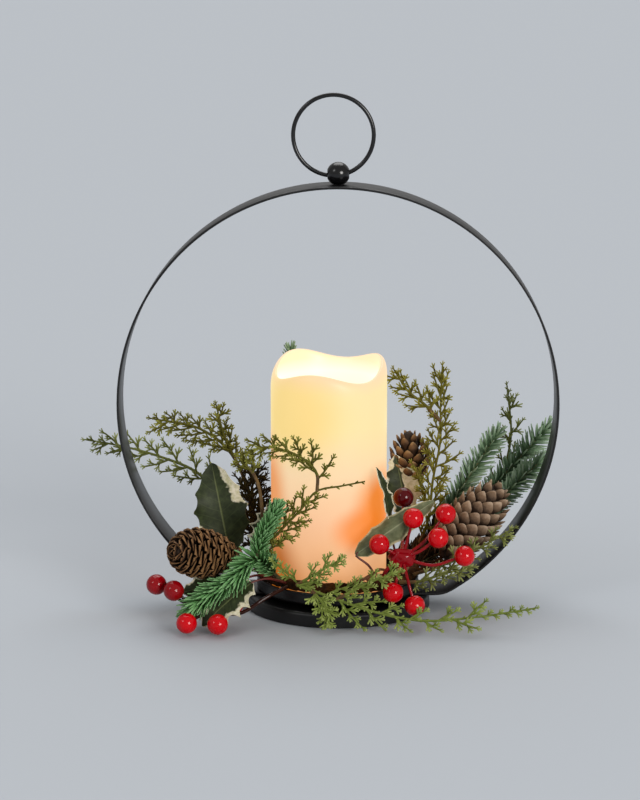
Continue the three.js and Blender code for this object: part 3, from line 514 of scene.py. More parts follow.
def wax_well():
    """The inside of the well, close to the lamp."""
    finish = Finish("lit_wax_well", tone(150, 130, 96), 0.4, Emission_Strength=0.86)
    finish.feed(finish.ramp(candle_height(finish), [
        (0.80, tone(255, 247, 220)), (0.94, tone(255, 251, 240)), (1.0, tone(254, 236, 192)),
    ]), "Emission Color")
    return finish.material


def stem_tape():
    """Paper tape, with painted shade darkening the laps between its turns."""
    finish = Finish("brown_stem_tape", tone(50, 28, 9), 0.8, Specular_IOR_Level=0.1)
    paper = finish.mottle(160, 5, [(0.25, tone(32, 17, 4)), (0.5, tone(52, 29, 9)), (0.8, tone(96, 56, 21))])
    # Painted shade: the laps are blended towards a near-black brown
    finish.feed(finish.blend(finish.attribute("lap"), paper, tone(20, 11, 4)), "Base Color")
    finish.grain(700, 4, 0.4, 0.3)
    return finish.material


def speckled_level(finish, shade_amount, speckle, speckle_amount):
    """Each vertex's paleness, moved by its copy's shade and by a speckle."""
    shade = finish.drift(finish.attribute("shade"), shade_amount)
    level = finish.calc("ADD", finish.attribute("tip"), shade)
    return finish.calc("ADD", level, finish.drift(speckle, speckle_amount), clamp=True)


def frond_green(name, base, middle, tip):
    """Moulded foliage, paler towards each tip, each frond a little lighter or darker."""
    base, middle, tip = tone(*base), tone(*middle), tone(*tip)
    finish = Finish(name, middle, 0.68, Specular_IOR_Level=0.16)
    level = speckled_level(finish, 0.42, finish.noise(420, 3), 0.5)
    finish.feed(finish.ramp(level, [(0.05, base), (0.5, middle), (0.95, tip)]), "Base Color")
    return finish.material


def cone_scales(name, dark, middle, edge):
    """Dry scales, darkened with painted shade towards their feet deep inside the cone, and paler at their
    ends, partly their own colour and partly painted highlight.
    """
    dark, middle, edge = tone(*dark), tone(*middle), tone(*edge)
    finish = Finish(name, middle, 0.72, Specular_IOR_Level=0.3)
    level = speckled_level(finish, 0.2, finish.noise(520, 5), 0.36)
    finish.feed(finish.ramp(level, [(0.36, dark), (0.72, middle), (0.98, edge)]), "Base Color")
    finish.grain(800, 4, 0.4, 0.3)
    return finish.material


def holly_upper():
    """Dark leaf with a pale rib and veins, and a ragged cream margin whose width each leaf gives."""
    finish = Finish("holly_leaf_upper", tone(47, 53, 30), 0.5, Specular_IOR_Level=0.2)
    place = finish.parts(finish.coordinates("UV"))
    side = finish.calc("ABSOLUTE", finish.drift(place["X"], 2.0))
    rib = finish.ramp(side, [(0.01, grey(0.6)), (0.05, grey(0))])
    slant = finish.calc("MULTIPLY", side, -9.0)
    vein_run = finish.calc("ADD", finish.calc("MULTIPLY", place["Y"], 58.0), slant)
    veins = finish.ramp(finish.calc("SINE", vein_run), [(0.9, grey(0)), (1.0, grey(0.35))])
    green = finish.mottle(260, 4, [
        (0.3, tone(33, 40, 20)), (0.55, tone(47, 55, 30)), (0.8, tone(62, 72, 41)),
    ])
    green = finish.blend(veins, green, tone(66, 76, 44))
    green = finish.blend(rib, green, tone(112, 120, 74))
    ragged = finish.drift(finish.noise(210, 4), 0.75)
    edge = finish.calc("ADD", finish.calc("ADD", side, ragged), finish.attribute("cream"))
    margin = finish.ramp(edge, [(0.84, grey(0)), (0.96, grey(1))])
    cream = finish.mottle(500, 2, [(0.3, tone(192, 186, 146)), (0.7, tone(226, 218, 198))])
    finish.feed(finish.blend(margin, green, cream), "Base Color")
    finish.bump(finish.calc("ADD", veins, finish.calc("MULTIPLY", rib, -1.5)), 0.35, 0.3)
    return finish.material


def holly_under():
    """The back of a leaf: greyer, with a tan rim and a raised rib."""
    finish = Finish("holly_leaf_underside", tone(104, 109, 78), 0.55, Specular_IOR_Level=0.3)
    place = finish.parts(finish.coordinates("UV"))
    side = finish.calc("ABSOLUTE", finish.calc("SUBTRACT", place["X"], 0.5))
    green = finish.mottle(240, 4, [
        (0.3, tone(78, 84, 54)), (0.6, tone(104, 109, 78)), (0.85, tone(128, 131, 98)),
    ])
    rib = finish.ramp(side, [(0.0, grey(0.7)), (0.035, grey(0))])
    green = finish.blend(rib, green, tone(150, 152, 116))
    ragged = finish.drift(finish.noise(210, 4), 0.16)
    rim = finish.ramp(finish.calc("ADD", side, ragged), [(0.40, grey(0)), (0.47, grey(1))])
    finish.feed(finish.blend(rim, green, tone(190, 180, 140)), "Base Color")
    finish.bump(rib, 0.4, 0.4)
    return finish.material


SATIN_BLACK = black_metal("satin_black_paint", 0.36, 0.40, 0.4)
GLOSS_BLACK = black_metal("gloss_black_paint", 0.18, 0.22, 0.5)
TAPE = stem_tape()


# Frame

def make_hoop():
    """The strap: an edge drawn along the flat run and round the circle, then given its thickness."""
    bend_run = 6 * MM
    half_flat = math.sqrt(HOOP_RADIUS ** 2 - (HOOP_CENTRE - STRAP_UNDERSIDE) ** 2)
    fold = math.atan2(STRAP_UNDERSIDE - HOOP_CENTRE, half_flat)
    start = math.degrees(fold + bend_run / HOOP_RADIUS)
    circle = [Vector((x, 0, z)) for x, z in arc(0, HOOP_CENTRE, HOOP_RADIUS, start, 180 - start, 160)]
    corner = Vector((half_flat, 0, STRAP_UNDERSIDE))
    bend_from = corner - Vector((bend_run, 0, 0))
    bend = [bend_from.lerp(corner, s).lerp(corner.lerp(circle[0], s), s) for s in (0, 0.25, 0.5, 0.75)]
    mirror = [Vector((-place.x, 0, place.z)) for place in reversed(bend)]
    path = [*bend, *circle, *mirror]

    bpy.ops.mesh.primitive_plane_add(size=STRAP_WIDTH, location=path[0])
    hoop = named("hoop_strap")
    start_edit()
    bpy.ops.mesh.select_all(action="DESELECT")
    end_edit()
    for vertex in hoop.data.vertices:
        vertex.select = vertex.co.x < 0
    bpy.ops.object.mode_set(mode="EDIT")
    bpy.ops.mesh.delete(type="VERT")
    bpy.ops.mesh.select_all(action="SELECT")
    bpy.ops.transform.translate(value=(-STRAP_WIDTH / 2, 0, 0))
    for a, b in zip(path, path[1:] + path[:1]):
        bpy.ops.mesh.extrude_region_move(TRANSFORM_OT_translate={"value": b - a})
    weld(0.02 * MM)
    end_edit()
    apply_place()
    top = max(hoop.data.polygons, key=lambda face: face.center.z)
    if top.normal.z < 0:
        hoop.data.flip_normals()
    thicken(hoop, STRAP_THICKNESS, -1)
    edge = hoop.modifiers.new("edge", "BEVEL")
    edge.width = 0.25 * MM
    edge.segments = 2
    edge.limit_method = "ANGLE"
    edge.angle_limit = math.radians(50)
    paint(apply_modifiers(hoop), SATIN_BLACK)
    dress(smooth(hoop, 30), "frame", "frame_black", "hoop_band")


def make_finial():
    """A ball with a flat seat and a cross hole for the ring."""
    centre = Vector((0, 0, BALL_HEIGHT))
    bpy.ops.mesh.primitive_uv_sphere_add(segments=64, ring_count=40, radius=BALL_RADIUS, location=centre)
    apply_place()
    start_edit()
    bpy.ops.mesh.bisect(plane_co=(0, 0, ball_low.z), plane_no=-UP, use_fill=True, clear_outer=True)
    end_edit()
    ball = named("finial_bead")

    reach = 1.2 * BALL_RADIUS
    drill = lathe("drill", [(0, -reach), (CROSS_HOLE, -reach), (CROSS_HOLE, reach), (0, reach)], 48)
    drill.data.transform(Matrix.Translation(centre) @ Matrix.Rotation(math.pi / 2, 4, "Y"))
    cut = ball.modifiers.new("cross_hole", "BOOLEAN")
    cut.object = drill
    cut.operation = "DIFFERENCE"
    cut.solver = "EXACT"
    paint(apply_modifiers(ball), GLOSS_BLACK)
    bpy.data.objects.remove(drill)
    dress(smooth(ball, 30), "frame", "frame_black", "finial_ball")


def make_hanging_ring():
    """Round wire spun to a ring whose ends meet inside the ball."""
    hinge = Vector((0, 1, 0))
    slit = math.radians(0.5)
    to_ball = (Vector((0, 0, BALL_HEIGHT)) - RING_CENTRE).normalized()
    start = Matrix.Rotation(slit, 3, "Y") @ to_ball
    bpy.ops.mesh.primitive_circle_add(vertices=20, radius=RING_WIRE, fill_type="NGON")
    ring = named("hanging_ring_wire")
    turn = Matrix((start, hinge, start.cross(hinge))).transposed().to_4x4()
    ring.data.transform(Matrix.Translation(RING_CENTRE + start * RING_RADIUS) @ turn)
    start_edit()
    bpy.ops.mesh.spin(steps=120, angle=2 * math.pi - 2 * slit, center=RING_CENTRE, axis=hinge)
    bpy.ops.mesh.select_all(action="DESELECT")
    bpy.ops.mesh.select_non_manifold()
    bpy.ops.mesh.edge_face_add()
    bpy.ops.mesh.select_all(action="SELECT")
    bpy.ops.mesh.normals_make_consistent(inside=False)
    end_edit()
    paint(ring, GLOSS_BLACK)
    dress(smooth(ring, 40), "hanging_ring", "frame_black", "hanging_ring")


def make_base():
    """The foot, a pan turned over, and the tray, a cup with a rolled rim."""
    steps = 144
    inner = PRESS - SHEET
    edge = 0.4 * MM
    foot = lathe("foot_pan", [
        (0, FOOT_HEIGHT),
        *arc(FOOT_RADIUS - PRESS, FOOT_HEIGHT - PRESS, PRESS, 90, 0, 10),
        (FOOT_RADIUS, edge),
        (FOOT_RADIUS - edge, 0),
        (FOOT_RADIUS - SHEET, 0),
        *arc(FOOT_RADIUS - PRESS, FOOT_HEIGHT - PRESS, inner, 0, 90, 6),
        (0, FOOT_HEIGHT - SHEET),
    ], steps)
    paint(foot, SATIN_BLACK)
    dress(smooth(foot, 35), "frame", "frame_black", "base_foot")

    bead = 0.9 * MM
    neck = 0.25 * MM
    under = tray_low.z
    rim = tray_high.z
    tray = lathe("candle_cup", [
        (0, under),
        *arc(TRAY_RADIUS - PRESS, under + PRESS, PRESS, -90, 0, 10),
        (TRAY_RADIUS, rim - 3.2 * MM),
        (TRAY_RADIUS - neck, rim - 2.4 * MM),
        *arc(TRAY_RADIUS - bead, rim - bead, bead, -30, 210, 12),
        *arc(TRAY_RADIUS - PRESS, under + PRESS, inner, 0, -90, 6),
        (0, under + SHEET),
    ], steps)
    paint(tray, SATIN_BLACK)
    dress(smooth(tray, 35), "frame", "frame_black", "candle_tray")


# Candle

CANDLE_BORE = 34 * MM
CANDLE_EDGE = 1.2 * MM
LAMP_HOLE = 4.2 * MM
WELL_FLOOR_THICKNESS = 3 * MM
WELL_RADIUS = 34.2 * MM
# From the wall over the rim to the well's floor, as radius and height in mm
RIM_PROFILE = [
    (38.4, 139.5), (38.2, 142.3), (37.7, 145), (36.6, 147.4), (35.1, 148.5), (33.7, 147.4), (32.7, 144.3),
    (32.1, 138), (31.6, 128), (31.2, 122), (29.6, 118), (26.4, 116.5),
]
RIM_WAVE = 4 * MM
RIM_WAVE_FROM = 0.8 * CANDLE_HEIGHT
RIM_WAVE_FULL = 0.935 * CANDLE_HEIGHT
RIM_TILT_AT = math.radians(80)
RIM_CREST_AT = math.radians(15)


def make_candle():
    """A hollow pillar whose rim rises and falls in three crests over a slight tilt."""
    r = CANDLE_RADIUS
    h = CANDLE_HEIGHT
    cut = 0.35 * MM
    ceiling = WELL_FLOOR - WELL_FLOOR_THICKNESS
    wall = [(r, h * s) for s in (0.02, 0.1, 0.2, 0.3, 0.4, 0.5, 0.6, 0.7, 0.8, 0.88)]
    rim = Route([Vector((x * MM, 0, z * MM)) for x, z in RIM_PROFILE], 4)
    shell = lathe("wax_pillar", [
        (CANDLE_BORE, 0), (r - CANDLE_EDGE, 0), (r - cut, cut), (r, CANDLE_EDGE), *wall,
        *[(place.x, place.z) for place in rim.places],
        (LAMP_HOLE, WELL_FLOOR), (LAMP_HOLE, ceiling), (CANDLE_BORE, ceiling), (CANDLE_BORE, 0),
    ], 160)

    def carve(place):
        angle = math.atan2(place.y, place.x)
        wave = math.cos(angle - RIM_TILT_AT) + math.cos(3 * (angle - RIM_CREST_AT))
        lift = RIM_WAVE * wave * ease(RIM_WAVE_FROM, RIM_WAVE_FULL, place.z)
        return place + lift * UP + CANDLE_AXIS
    set_places(shell, carve)
    paint(shell, wax_wall(), wax_well())
    floor = CANDLE_AXIS.z + WELL_FLOOR - MM
    for face in shell.data.polygons:
        out = math.hypot(face.center.x - CANDLE_AXIS.x, face.center.y)
        face.material_index = 1 if out < WELL_RADIUS and face.center.z > floor else 0
    dress(smooth(shell, 60), "candle", "candle_wax", "candle_shell")


def finish_plain_nodes():
    """Finishes for the nodes that are shown as they are."""
    shown = {
        SATIN_BLACK: ["finial_screw", "tray_rivet_left", "tray_rivet_right"],
        simple("black_felt", tone(26, 26, 27), 0.95, grain=(2500, 3, 0.5, 0.2)): ["base_pad"],
        plain("cream_plastic", tone(226, 218, 200), 0.45): ["battery_housing", "battery_cover"],
        plain("switch_plastic", tone(42, 42, 44), 0.5): ["switch_knob"],
        plain("cell_jacket", tone(58, 74, 60), 0.4): ["battery_1", "battery_2", "battery_3"],
        plain("contact_steel", tone(185, 185, 180), 0.3, 1.0): ["cover_contact", "contact_plate"],
        plain("board_green", tone(31, 90, 56), 0.5): ["led_board"],
        simple("lamp_lens", tone(255, 226, 150), 0.12, grain=(300, 2, 0.05, 0.1),
               Emission_Color=tone(255, 236, 180), Emission_Strength=2.0): ["led_bulb"],
    }
    for finish, nodes in shown.items():
        for node in nodes:
            paint(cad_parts[node], finish)


# Wreath

def root_at(degrees):
    """Where greenery is wired on, at an angle round the ring from +X towards the back."""
    angle = math.radians(degrees)
    return Vector((WREATH_RADIUS * math.cos(angle), WREATH_RADIUS * math.sin(angle), WREATH_HEIGHT))


def off(root, offset):
    return root + Vector(offset) * MM


# How far greenery keeps off the candle, the strap and the base
CANDLE_ROOM = 1.3 * MM
STRAP_ROOM = 1.2 * MM
BASE_ROOM = 0.5 * MM


def is_clear(place):
    """True where greenery keeps off the candle's path, the strap, the base and the floor."""
    if math.hypot(place.x - CANDLE_AXIS.x, place.y) < CANDLE_RADIUS + CANDLE_ROOM:
        return False
    past_hoop = math.hypot(place.x, place.z - HOOP_CENTRE) - HOOP_RADIUS
    if -STRAP_THICKNESS - STRAP_ROOM < past_hoop < STRAP_ROOM and abs(place.y) < STRAP_WIDTH / 2 + MM:
        return False
    from_axis = math.hypot(place.x, place.y)
    if from_axis < FOOT_RADIUS + BASE_ROOM and place.z < FOOT_HEIGHT + BASE_ROOM:
        return False
    if from_axis < TRAY_RADIUS + BASE_ROOM and place.z < tray_high.z + MM:
        return False
    return place.z > MM


def is_clear_along(place, heading, reach, shares):
    return all(is_clear(place + heading * reach * share) for share in shares)


TAPE_TURNS = 44
TAPE_RISE = 0.2
# The share at the start of each turn, in the step below its neighbour, that is darkened with painted shade
LAP_SHADE = 0.2
LOOSE_END = (1.3 * MM, 0.7 * MM)
# Dry ends of tape that stand off the ring: where each starts, in degrees, its sweep and its rise in mm
LOOSE_ENDS = [(284, 24, 4), (293, 17, 7), (309, 28, 5), (327, 20, 6)]


def make_wreath_ring():
    """A wire ring wound with overlapping turns of paper tape, with a few dry ends left loose."""
    bpy.ops.mesh.primitive_torus_add(
        major_radius=WREATH_RADIUS, minor_radius=WREATH_TUBE, major_segments=420, minor_segments=18,
        location=(0, 0, WREATH_HEIGHT))
    apply_place()
    ring = named("taped_ring")

    def lap_at(place):
        """The share of a turn of tape passed at a place, and the middle of the wire there."""
        around = math.atan2(place.y, place.x)
        about = math.atan2(place.z - WREATH_HEIGHT, math.hypot(place.x, place.y) - WREATH_RADIUS)
        return (TAPE_TURNS * around + about) / (2 * math.pi) % 1, root_at(math.degrees(around))
    laps = [lap_at(vertex.co)[0] for vertex in ring.data.vertices]
    # Painted shade in the laps, strongest where each turn starts
    set_values(ring.data, "lap", [max(0, 1 - lap / LAP_SHADE) for lap in laps])

    def wind(place):
        lap, middle = lap_at(place)
        return middle + (place - middle) * (1 - TAPE_RISE + TAPE_RISE * lap ** 0.7)
    paint(set_places(ring, wind), TAPE)
    curls = []
    for start, sweep, lift in LOOSE_ENDS:
        knots = []
        for i in range(5):
            place = root_at(start + sweep * i / 4) * (1.03 if i % 2 else 0.99)
            rise = lift * math.sin(math.radians(36 * i)) * MM
            knots.append(Vector((place.x, place.y, WREATH_HEIGHT + WREATH_TUBE + rise)))
        curls.append(Route(knots).strand(18, *LOOSE_END))
    dry = woody_stem("dry_tape", tone(84, 52, 24), tone(158, 108, 64))
    wound = join([ring, paint(strands_piece("loose_ends", curls), dry)], "wound_ring")
    dress(smooth(wound, 60), "frame", "stem_tape", "wreath_ring")


# Berries

BERRY_RADIUS = 6.7 * MM
# Where the dimple, the hollow of the speck and its dark skin start, and the depths, as shares of the radius
DIMPLE_FROM = 0.9
DIMPLE_DEPTH = 0.07
SPECK_FROM = 0.965
SPECK_DEPTH = 0.04
SPECK_SKIN_FROM = 0.985
# A stem's radii at its foot and its end, and how deep a stalk goes into its berry
BERRY_TRUNK = (1.45 * MM, 1.25 * MM)
BERRY_STALK = (1.265 * MM, 0.935 * MM)
STALK_DEPTH = 0.7 * MM

BERRIES = {
    "left": {
        "ring": 234,
        "path": [(-16, -11, -6), (-33, -17, -15)],
        "fork": (-50, -21, -13),
        "berries": [(-87, -13, 3), (-75, -24, 2), (-66, -37, -16), (-46, -39, -16), (-37, -15, -9)],
        "bows": [(0, 0, -3), (0, 0, -3), (0, 0, 1), (0, 0, 1), (-2, 1, -2)],
        "lump": (2.2, 2.0, 2.0),
    },
    "right": {
        "ring": 308,
        "path": [(0, -6, 10)],
        "fork": (11, -8, 20),
        "berries": [
            (-4, -12, 30), (18, -6, 46), (39, -2, 48), (34, -14, 35),
            (51, -14, 23), (5, -20, 0), (19, -22, -8), (12, 22, 53),
        ],
        "bows": [
            (0, -1, 0), (0, 0, 0), (0, 0, -4), (0, 0, -2),
            (0, -2, -5), (0, -3, 0), (0, -4, 0), (0, 6, -6),
        ],
        "lump": (8.4, 5.2, 6.2),
    },
}


def make_berry(name, centre, stalk_end, skin, speck):
    """A round fruit, dimpled where its stalk goes in, with a dark speck opposite."""
    bpy.ops.mesh.primitive_uv_sphere_add(segments=36, ring_count=24, radius=BERRY_RADIUS)
    berry = named(name)
    turn = UP.rotation_difference((stalk_end - centre).normalized()).to_matrix()
    for face in berry.data.polygons:
        face.material_index = 1 if face.center.z < -SPECK_SKIN_FROM * BERRY_RADIUS else 0

    def shape(place):
        height = place.z / BERRY_RADIUS
        near = max(0, height - DIMPLE_FROM) / (1 - DIMPLE_FROM)
        far = max(0, -height - SPECK_FROM) / (1 - SPECK_FROM)
        return turn @ (place * (1 - DIMPLE_DEPTH * near ** 2 - SPECK_DEPTH * far)) + centre
    paint(set_places(berry, shape), skin, speck)
    return smooth(berry, 60)


def make_fork_lump(fork, sizes):
    """The moulded lump where the stalks run together."""
    bpy.ops.mesh.primitive_ico_sphere_add(subdivisions=4, radius=MM)

    def shape(place):
        x, y, z = place / MM
        swell = 1 + 0.1 * math.sin(5 * x + 1) * math.cos(4 * z) + 0.08 * math.sin(7 * y + 3 * z)
        return fork + Vector(a * size for a, size in zip(place, sizes)) * swell
    return set_places(named("lump"), shape)


def make_berries():
    red = berry_skin("berry_red", tone(200, 0, 14))
    # Painted shade: darker copies of the same berry red, for the two far left berries and, darkest, the back
    # right one, which stand in shade
    deep = berry_skin("berry_red_painted_shade", tone(142, 2, 12))
    skins = {
        "berry_left_1": deep, "berry_left_2": deep,
        "berry_right_8": berry_skin("berry_red_painted_deep_shade", tone(84, 2, 7)),
    }
    stalk_skins = {
        "left": berry_skin("stalk_brown", tone(48, 22, 14)),
        "right": berry_skin("stalk_red", tone(140, 6, 18)),
    }
    speck = plain("berry_speck", tone(46, 10, 8), 0.6)
    for side, spec in BERRIES.items():
        root = root_at(spec["ring"])
        fork = off(root, spec["fork"])
        trunk = Route([root, *[off(root, place) for place in spec["path"]], fork])
        strands = [trunk.strand(16, *BERRY_TRUNK)]
        for i, (offset, bow) in enumerate(zip(spec["berries"], spec["bows"])):
            centre = off(root, offset)
            bend = off(fork.lerp(centre, 0.5), bow)
            stalk_end = centre + (bend - centre).normalized() * (BERRY_RADIUS - STALK_DEPTH)
            stalk = Route([fork, bend, stalk_end]).strand(12, *BERRY_STALK)
            strands.append([*stalk, (stalk_end, BERRY_STALK[1])])
            name = f"berry_{side}_{i + 1}"
            berry = make_berry(f"{name}_fruit", centre, stalk_end, skins.get(name, red), speck)
            dress(berry, "frame", "berry_red", name)
        stalks = paint(strands_piece("stalks", strands, 2), stalk_skins[side])
        lump = paint(make_fork_lump(fork, spec["lump"]), stalk_skins[side])
        stem = join([stalks, lump], f"berry_stem_{side}_stalks")
        dress(smooth(stem, 50), "frame", "berry_red", f"berry_stem_{side}")


# Cones

# Each skin gives a name and three colours: a scale's foot, darkened with painted shade, its middle, and its
# end, which is pale partly from painted highlight
CONES = {
    "cone_left": {
        "ring": 200, "wire": (-9, -8, 9), "base": (-17, -15, 16), "tip": (-57, -45, 28),
        "radius": 17, "widest": 0.62, "scales": 94, "width": 15.5, "reach": 12, "lean": 66,
        "unrest": 2, "closing": 0.62, "smallest": 0.42, "bud": 9,
        "skin": ("cone_scales_dark", (20, 11, 4), (70, 45, 24), (128, 93, 57)),
    },
    "cone_right": {
        "ring": 352, "wire": (10, -3, 4), "base": (19, -4, 11), "tip": (58, 14, 54),
        "radius": 17.5, "widest": 0.5, "scales": 104, "width": 10, "reach": 13, "lean": 31,
        "unrest": 8, "pad": 2.5,
        "skin": ("cone_scales_grey", (46, 30, 18), (122, 97, 75), (172, 148, 124)),
    },
    "cone_back": {
        "ring": 38, "wire": (9, 9, 24), "base": (10, 9, 52), "tip": (7, 11, 84),
        "radius": 13, "widest": 0.5, "scales": 54, "width": 7.5, "reach": 11, "lean": 26,
        "unrest": 8, "pad": 2.6,
        "skin": ("cone_scales_red", (52, 31, 14), (114, 82, 52), (158, 124, 84)),
    },
}
CONE_DEFAULTS = {"closing": 0, "smallest": 0.5, "bud": 0}
GOLDEN_TURN = math.pi * (3 - math.sqrt(5))
SCALE_LENGTH = 10 * MM
CONE_WIRE = 1.4 * MM
# The bud at a cone's tip, from its middle to its edge: lean in degrees, width, and height up the cone
BUD_LEAN = (4, 38)
BUD_WIDTH = (0.3, 0.56)
BUD_HEIGHT = (0.96, 0.89)
BUD_RADIUS = 0.22
BUD_REACH = 0.42


def cone_swell(share, widest):
    """A cone's outline, as a share of its radius."""
    lower = math.sin(math.pi / 2 * min(1, (share + 0.15) / (widest + 0.15)))
    upper = math.sqrt(max(0, 1 - max(0, (share - widest) / (1.06 - widest)) ** 2))
    return lower * upper


def thin_scale(width):
    """A thin scale: a plate that widens to a round end and curls out a little."""
    widest = 0.5
    bpy.ops.mesh.primitive_grid_add(x_subdivisions=6, y_subdivisions=5, size=2)

    def half_width(along):
        half = width / 2 * MM * (0.45 + 0.55 * math.sin(math.pi / 2 * min(1, along / widest)))
        if along > widest:
            half *= math.sqrt(max(0.02, 1 - ((along - widest) / (1 - widest)) ** 2))
        return half

    def shape(place):
        along = 1 - ((1 - place.y) / 2) ** 1.7
        across = math.copysign(abs(place.x) ** 0.6, place.x)
        curl = 0.5 * along ** 3 - 2.2 * across ** 2 * (0.3 + 0.7 * along)
        return Vector((across * half_width(along), curl * MM, SCALE_LENGTH * along))
    plate = set_places(named("thin_scale"), shape)
    thicken(plate, 0.75 * MM, 0)

    # Paleness: dark at the foot, painted shade inside the cone; pale at the end and edges, partly the scale's
    # own rim and partly painted highlight
    def rim(place):
        along = min(1, max(0, place.z / SCALE_LENGTH))
        edge = abs(place.x) / half_width(along)
        pale = max((along - 0.88) / 0.12, (edge - 0.8) / 0.2 if along > 0.4 else 0)
        return max(0.72 * along, pale)
    return Pattern(apply_modifiers(plate), rim)


def pad_scale(width, thick):
    """A woody scale: a tongue with a low ridge down its outside and a thinner end that turns out."""
    bpy.ops.mesh.primitive_uv_sphere_add(segments=12, ring_count=8, radius=1)

    def shape(place):
        along = (place.z + 1) / 2
        spread = (0.5 + 0.5 * ease(0.05, 0.55, along)) * (1 - 0.36 * ease(0.55, 1.0, along))
        depth = 0.5 + 0.5 * ease(0.15, 0.5, along) - 0.3 * ease(0.7, 1.0, along)
        outside = 1.5 - 0.6 * abs(place.x) if place.y > 0 else 0.6
        curl = 1.6 * along ** 3
        front = place.y * thick / 2 * depth * outside + curl
        return Vector((place.x * width / 2 * spread * MM, front * MM, SCALE_LENGTH * along))
    return Pattern(set_places(named("pad_scale"), shape))


def even_shares(spec, radius, length):
    """Where scales end along a cone, so that each has the same area of its outside."""
    stations = np.linspace(0.1, 1.055, 200)
    radii = np.array([radius * cone_swell(share, spec["widest"]) for share in stations])
    slant = np.hypot(np.gradient(radii), np.gradient(stations) * length)
    covered = np.cumsum((radii + 0.3 * radius) * slant)
    marks = (np.arange(spec["scales"]) + 0.5) / spec["scales"] * covered[-1]
    return np.interp(marks, covered, stations)


def make_cone(name, spec, skin, core_skin, rng):
    """Scales in a spiral that lean out from the cone's outline, and a bud of small ones where asked for."""
    root = root_at(spec["ring"])
    base = off(root, spec["base"])
    tip = off(root, spec["tip"])
    axis = (tip - base).normalized()
    length = (tip - base).length
    radius = spec["radius"] * MM
    across = axis.orthogonal().normalized()
    around = axis.cross(across)
    pattern = pad_scale(spec["width"], spec["pad"]) if "pad" in spec else thin_scale(spec["width"])
    placements = []

    def swell_at(share):
        return radius * cone_swell(share, spec["widest"])

    def add_scale(foot, out, lean, reach, width):
        front = leaning(out, -axis, lean)
        placements.append(placement(foot, leaning(axis, out, lean), front, reach / pattern.length, width))

    for i, share in enumerate(even_shares(spec, radius, length)):
        out = leaning(across, around, i * GOLDEN_TURN)
        swell = swell_at(share)
        step = 0.02
        slope = (swell_at(min(1.05, share + step)) - swell_at(share - step)) / (2 * step * length)
        opening = math.radians(spec["lean"]) * (1 - spec["closing"] * ease(0.84, 1.05, share))
        if "pad" in spec:
            opening += min(0.1, max(-0.35, math.atan(slope)))
        lean = opening + rng.uniform(-1, 1) * math.radians(spec["unrest"])
        size = mix(spec["smallest"], 1, swell / radius)
        reach = spec["reach"] * MM * size
        end = base + axis * share * length + out * swell
        add_scale(end - leaning(axis, out, lean) * reach, out, lean, reach, size)
    for i in range(spec["bud"]):
        share = (i + 0.5) / spec["bud"]
        out = leaning(across, around, i * GOLDEN_TURN)
        foot = base + axis * mix(*BUD_HEIGHT, share) * length + out * BUD_RADIUS * radius * math.sqrt(share)
        lean = math.radians(mix(*BUD_LEAN, share))
        add_scale(foot, out, lean, BUD_REACH * spec["reach"] * MM, mix(*BUD_WIDTH, share))
    scales = paint(pattern.repeated(f"{name}_scales", placements, rng), skin)
    profile = [(max(0.3 * MM, 0.5 * swell_at(i / 10)), 0.98 * length * i / 10) for i in range(11)]
    core = lathe("core", [(0, 0), *profile, (0, 1.02 * length)], 20)
    turn = UP.rotation_difference(axis).to_matrix()
    paint(set_places(core, lambda place: turn @ place + base), core_skin)
    wire = Route([root, off(root, spec["wire"]), base, base + axis * 4 * MM])
    wire = paint(strands_piece("wire", [wire.strand(14, CONE_WIRE, CONE_WIRE)]), TAPE)
    cone = join([scales, core, wire], f"{name}_dry")
    dress(smooth(cone, 50), "frame", "cone_brown", name)


def make_cones():
    core_skin = plain("cone_core", tone(48, 31, 17), 0.85)
    for i, (name, spec) in enumerate(CONES.items()):
        skin = cone_scales(*spec["skin"])
        make_cone(name, CONE_DEFAULTS | spec, skin, core_skin, random.Random(40 + i))


# Holly

HOLLY = {
    "holly_left_up": {
        "ring": 194, "bend": (-14, -4, 5), "base": (-22, -4, 14), "tip": (-34, 6, 73),
        "face": (0.1, -1, 0.1), "width": 33, "bow": 2, "fold": 0.12, "cream": -0.25, "teeth": 0.2,
        "patches": [(1, 0.52, 0.95, 0.62), (-1, 0.05, 0.34, 0.4)],
    },
    "holly_left_low": {
        "ring": 232, "bend": (-14, -13, 7), "base": (-23, -18, 6), "tip": (-55, -31, -20),
        "face": (0, -0.75, 0.65), "width": 26, "bow": 3, "fold": 0.15, "cream": 0.22,
    },
    "holly_left_mid": {
        "ring": 216, "bend": (-12, -12, 6), "base": (-25, -20, 3), "tip": (-59, -26, -2),
        "face": (-0.2, -0.7, 0.7), "width": 22, "bow": 2, "fold": 0.1, "cream": 0.1,
    },
    "holly_left_behind": {
        "ring": 212, "bend": (-8, -8, 7), "base": (-9, -10, 17), "tip": (3, -7, 54),
        "face": (-0.3, -1, 0.2), "width": 20, "bow": 2, "fold": 0.15, "cream": 0.1,
    },
    "holly_right_front": {
        "ring": 302, "bend": (-6, -4, 14), "base": (-15, -5, 22), "tip": (36, 7, 55),
        "face": (0.2, -1, 0.5), "width": 16, "bow": 3, "fold": -0.75, "cream": 0.05, "teeth": 0.17,
        "turned": True,
    },
    "holly_right_edge": {
        "ring": 322, "bend": (-2, -1, 18), "base": (-6, -2, 36), "tip": (-15, 1, 76),
        "face": (1, -0.35, 0.1), "width": 17, "bow": 2, "fold": 0.2, "cream": 0.1,
    },
    "holly_back": {
        "ring": 24, "bend": (1, 7, 14), "base": (0, 9, 29), "tip": (-8, 13, 70),
        "face": (0.1, -1, 0.1), "width": 27, "bow": 2, "fold": 0.1, "cream": 0.0,
        "patches": [(1, 0.15, 0.95, 0.8), (-1, 0.8, 1.0, 0.5)],
    },
}
HOLLY_DEFAULTS = {"teeth": 0.42, "patches": (), "turned": False}
SPINES = 5
SPINE_SHIFT = 0.12
EDGE_WAVE = 0.12
BLADE_THICKNESS = 0.5 * MM
PETIOLE = (1.0 * MM, 0.6 * MM)
PATCH_FADE = 0.07


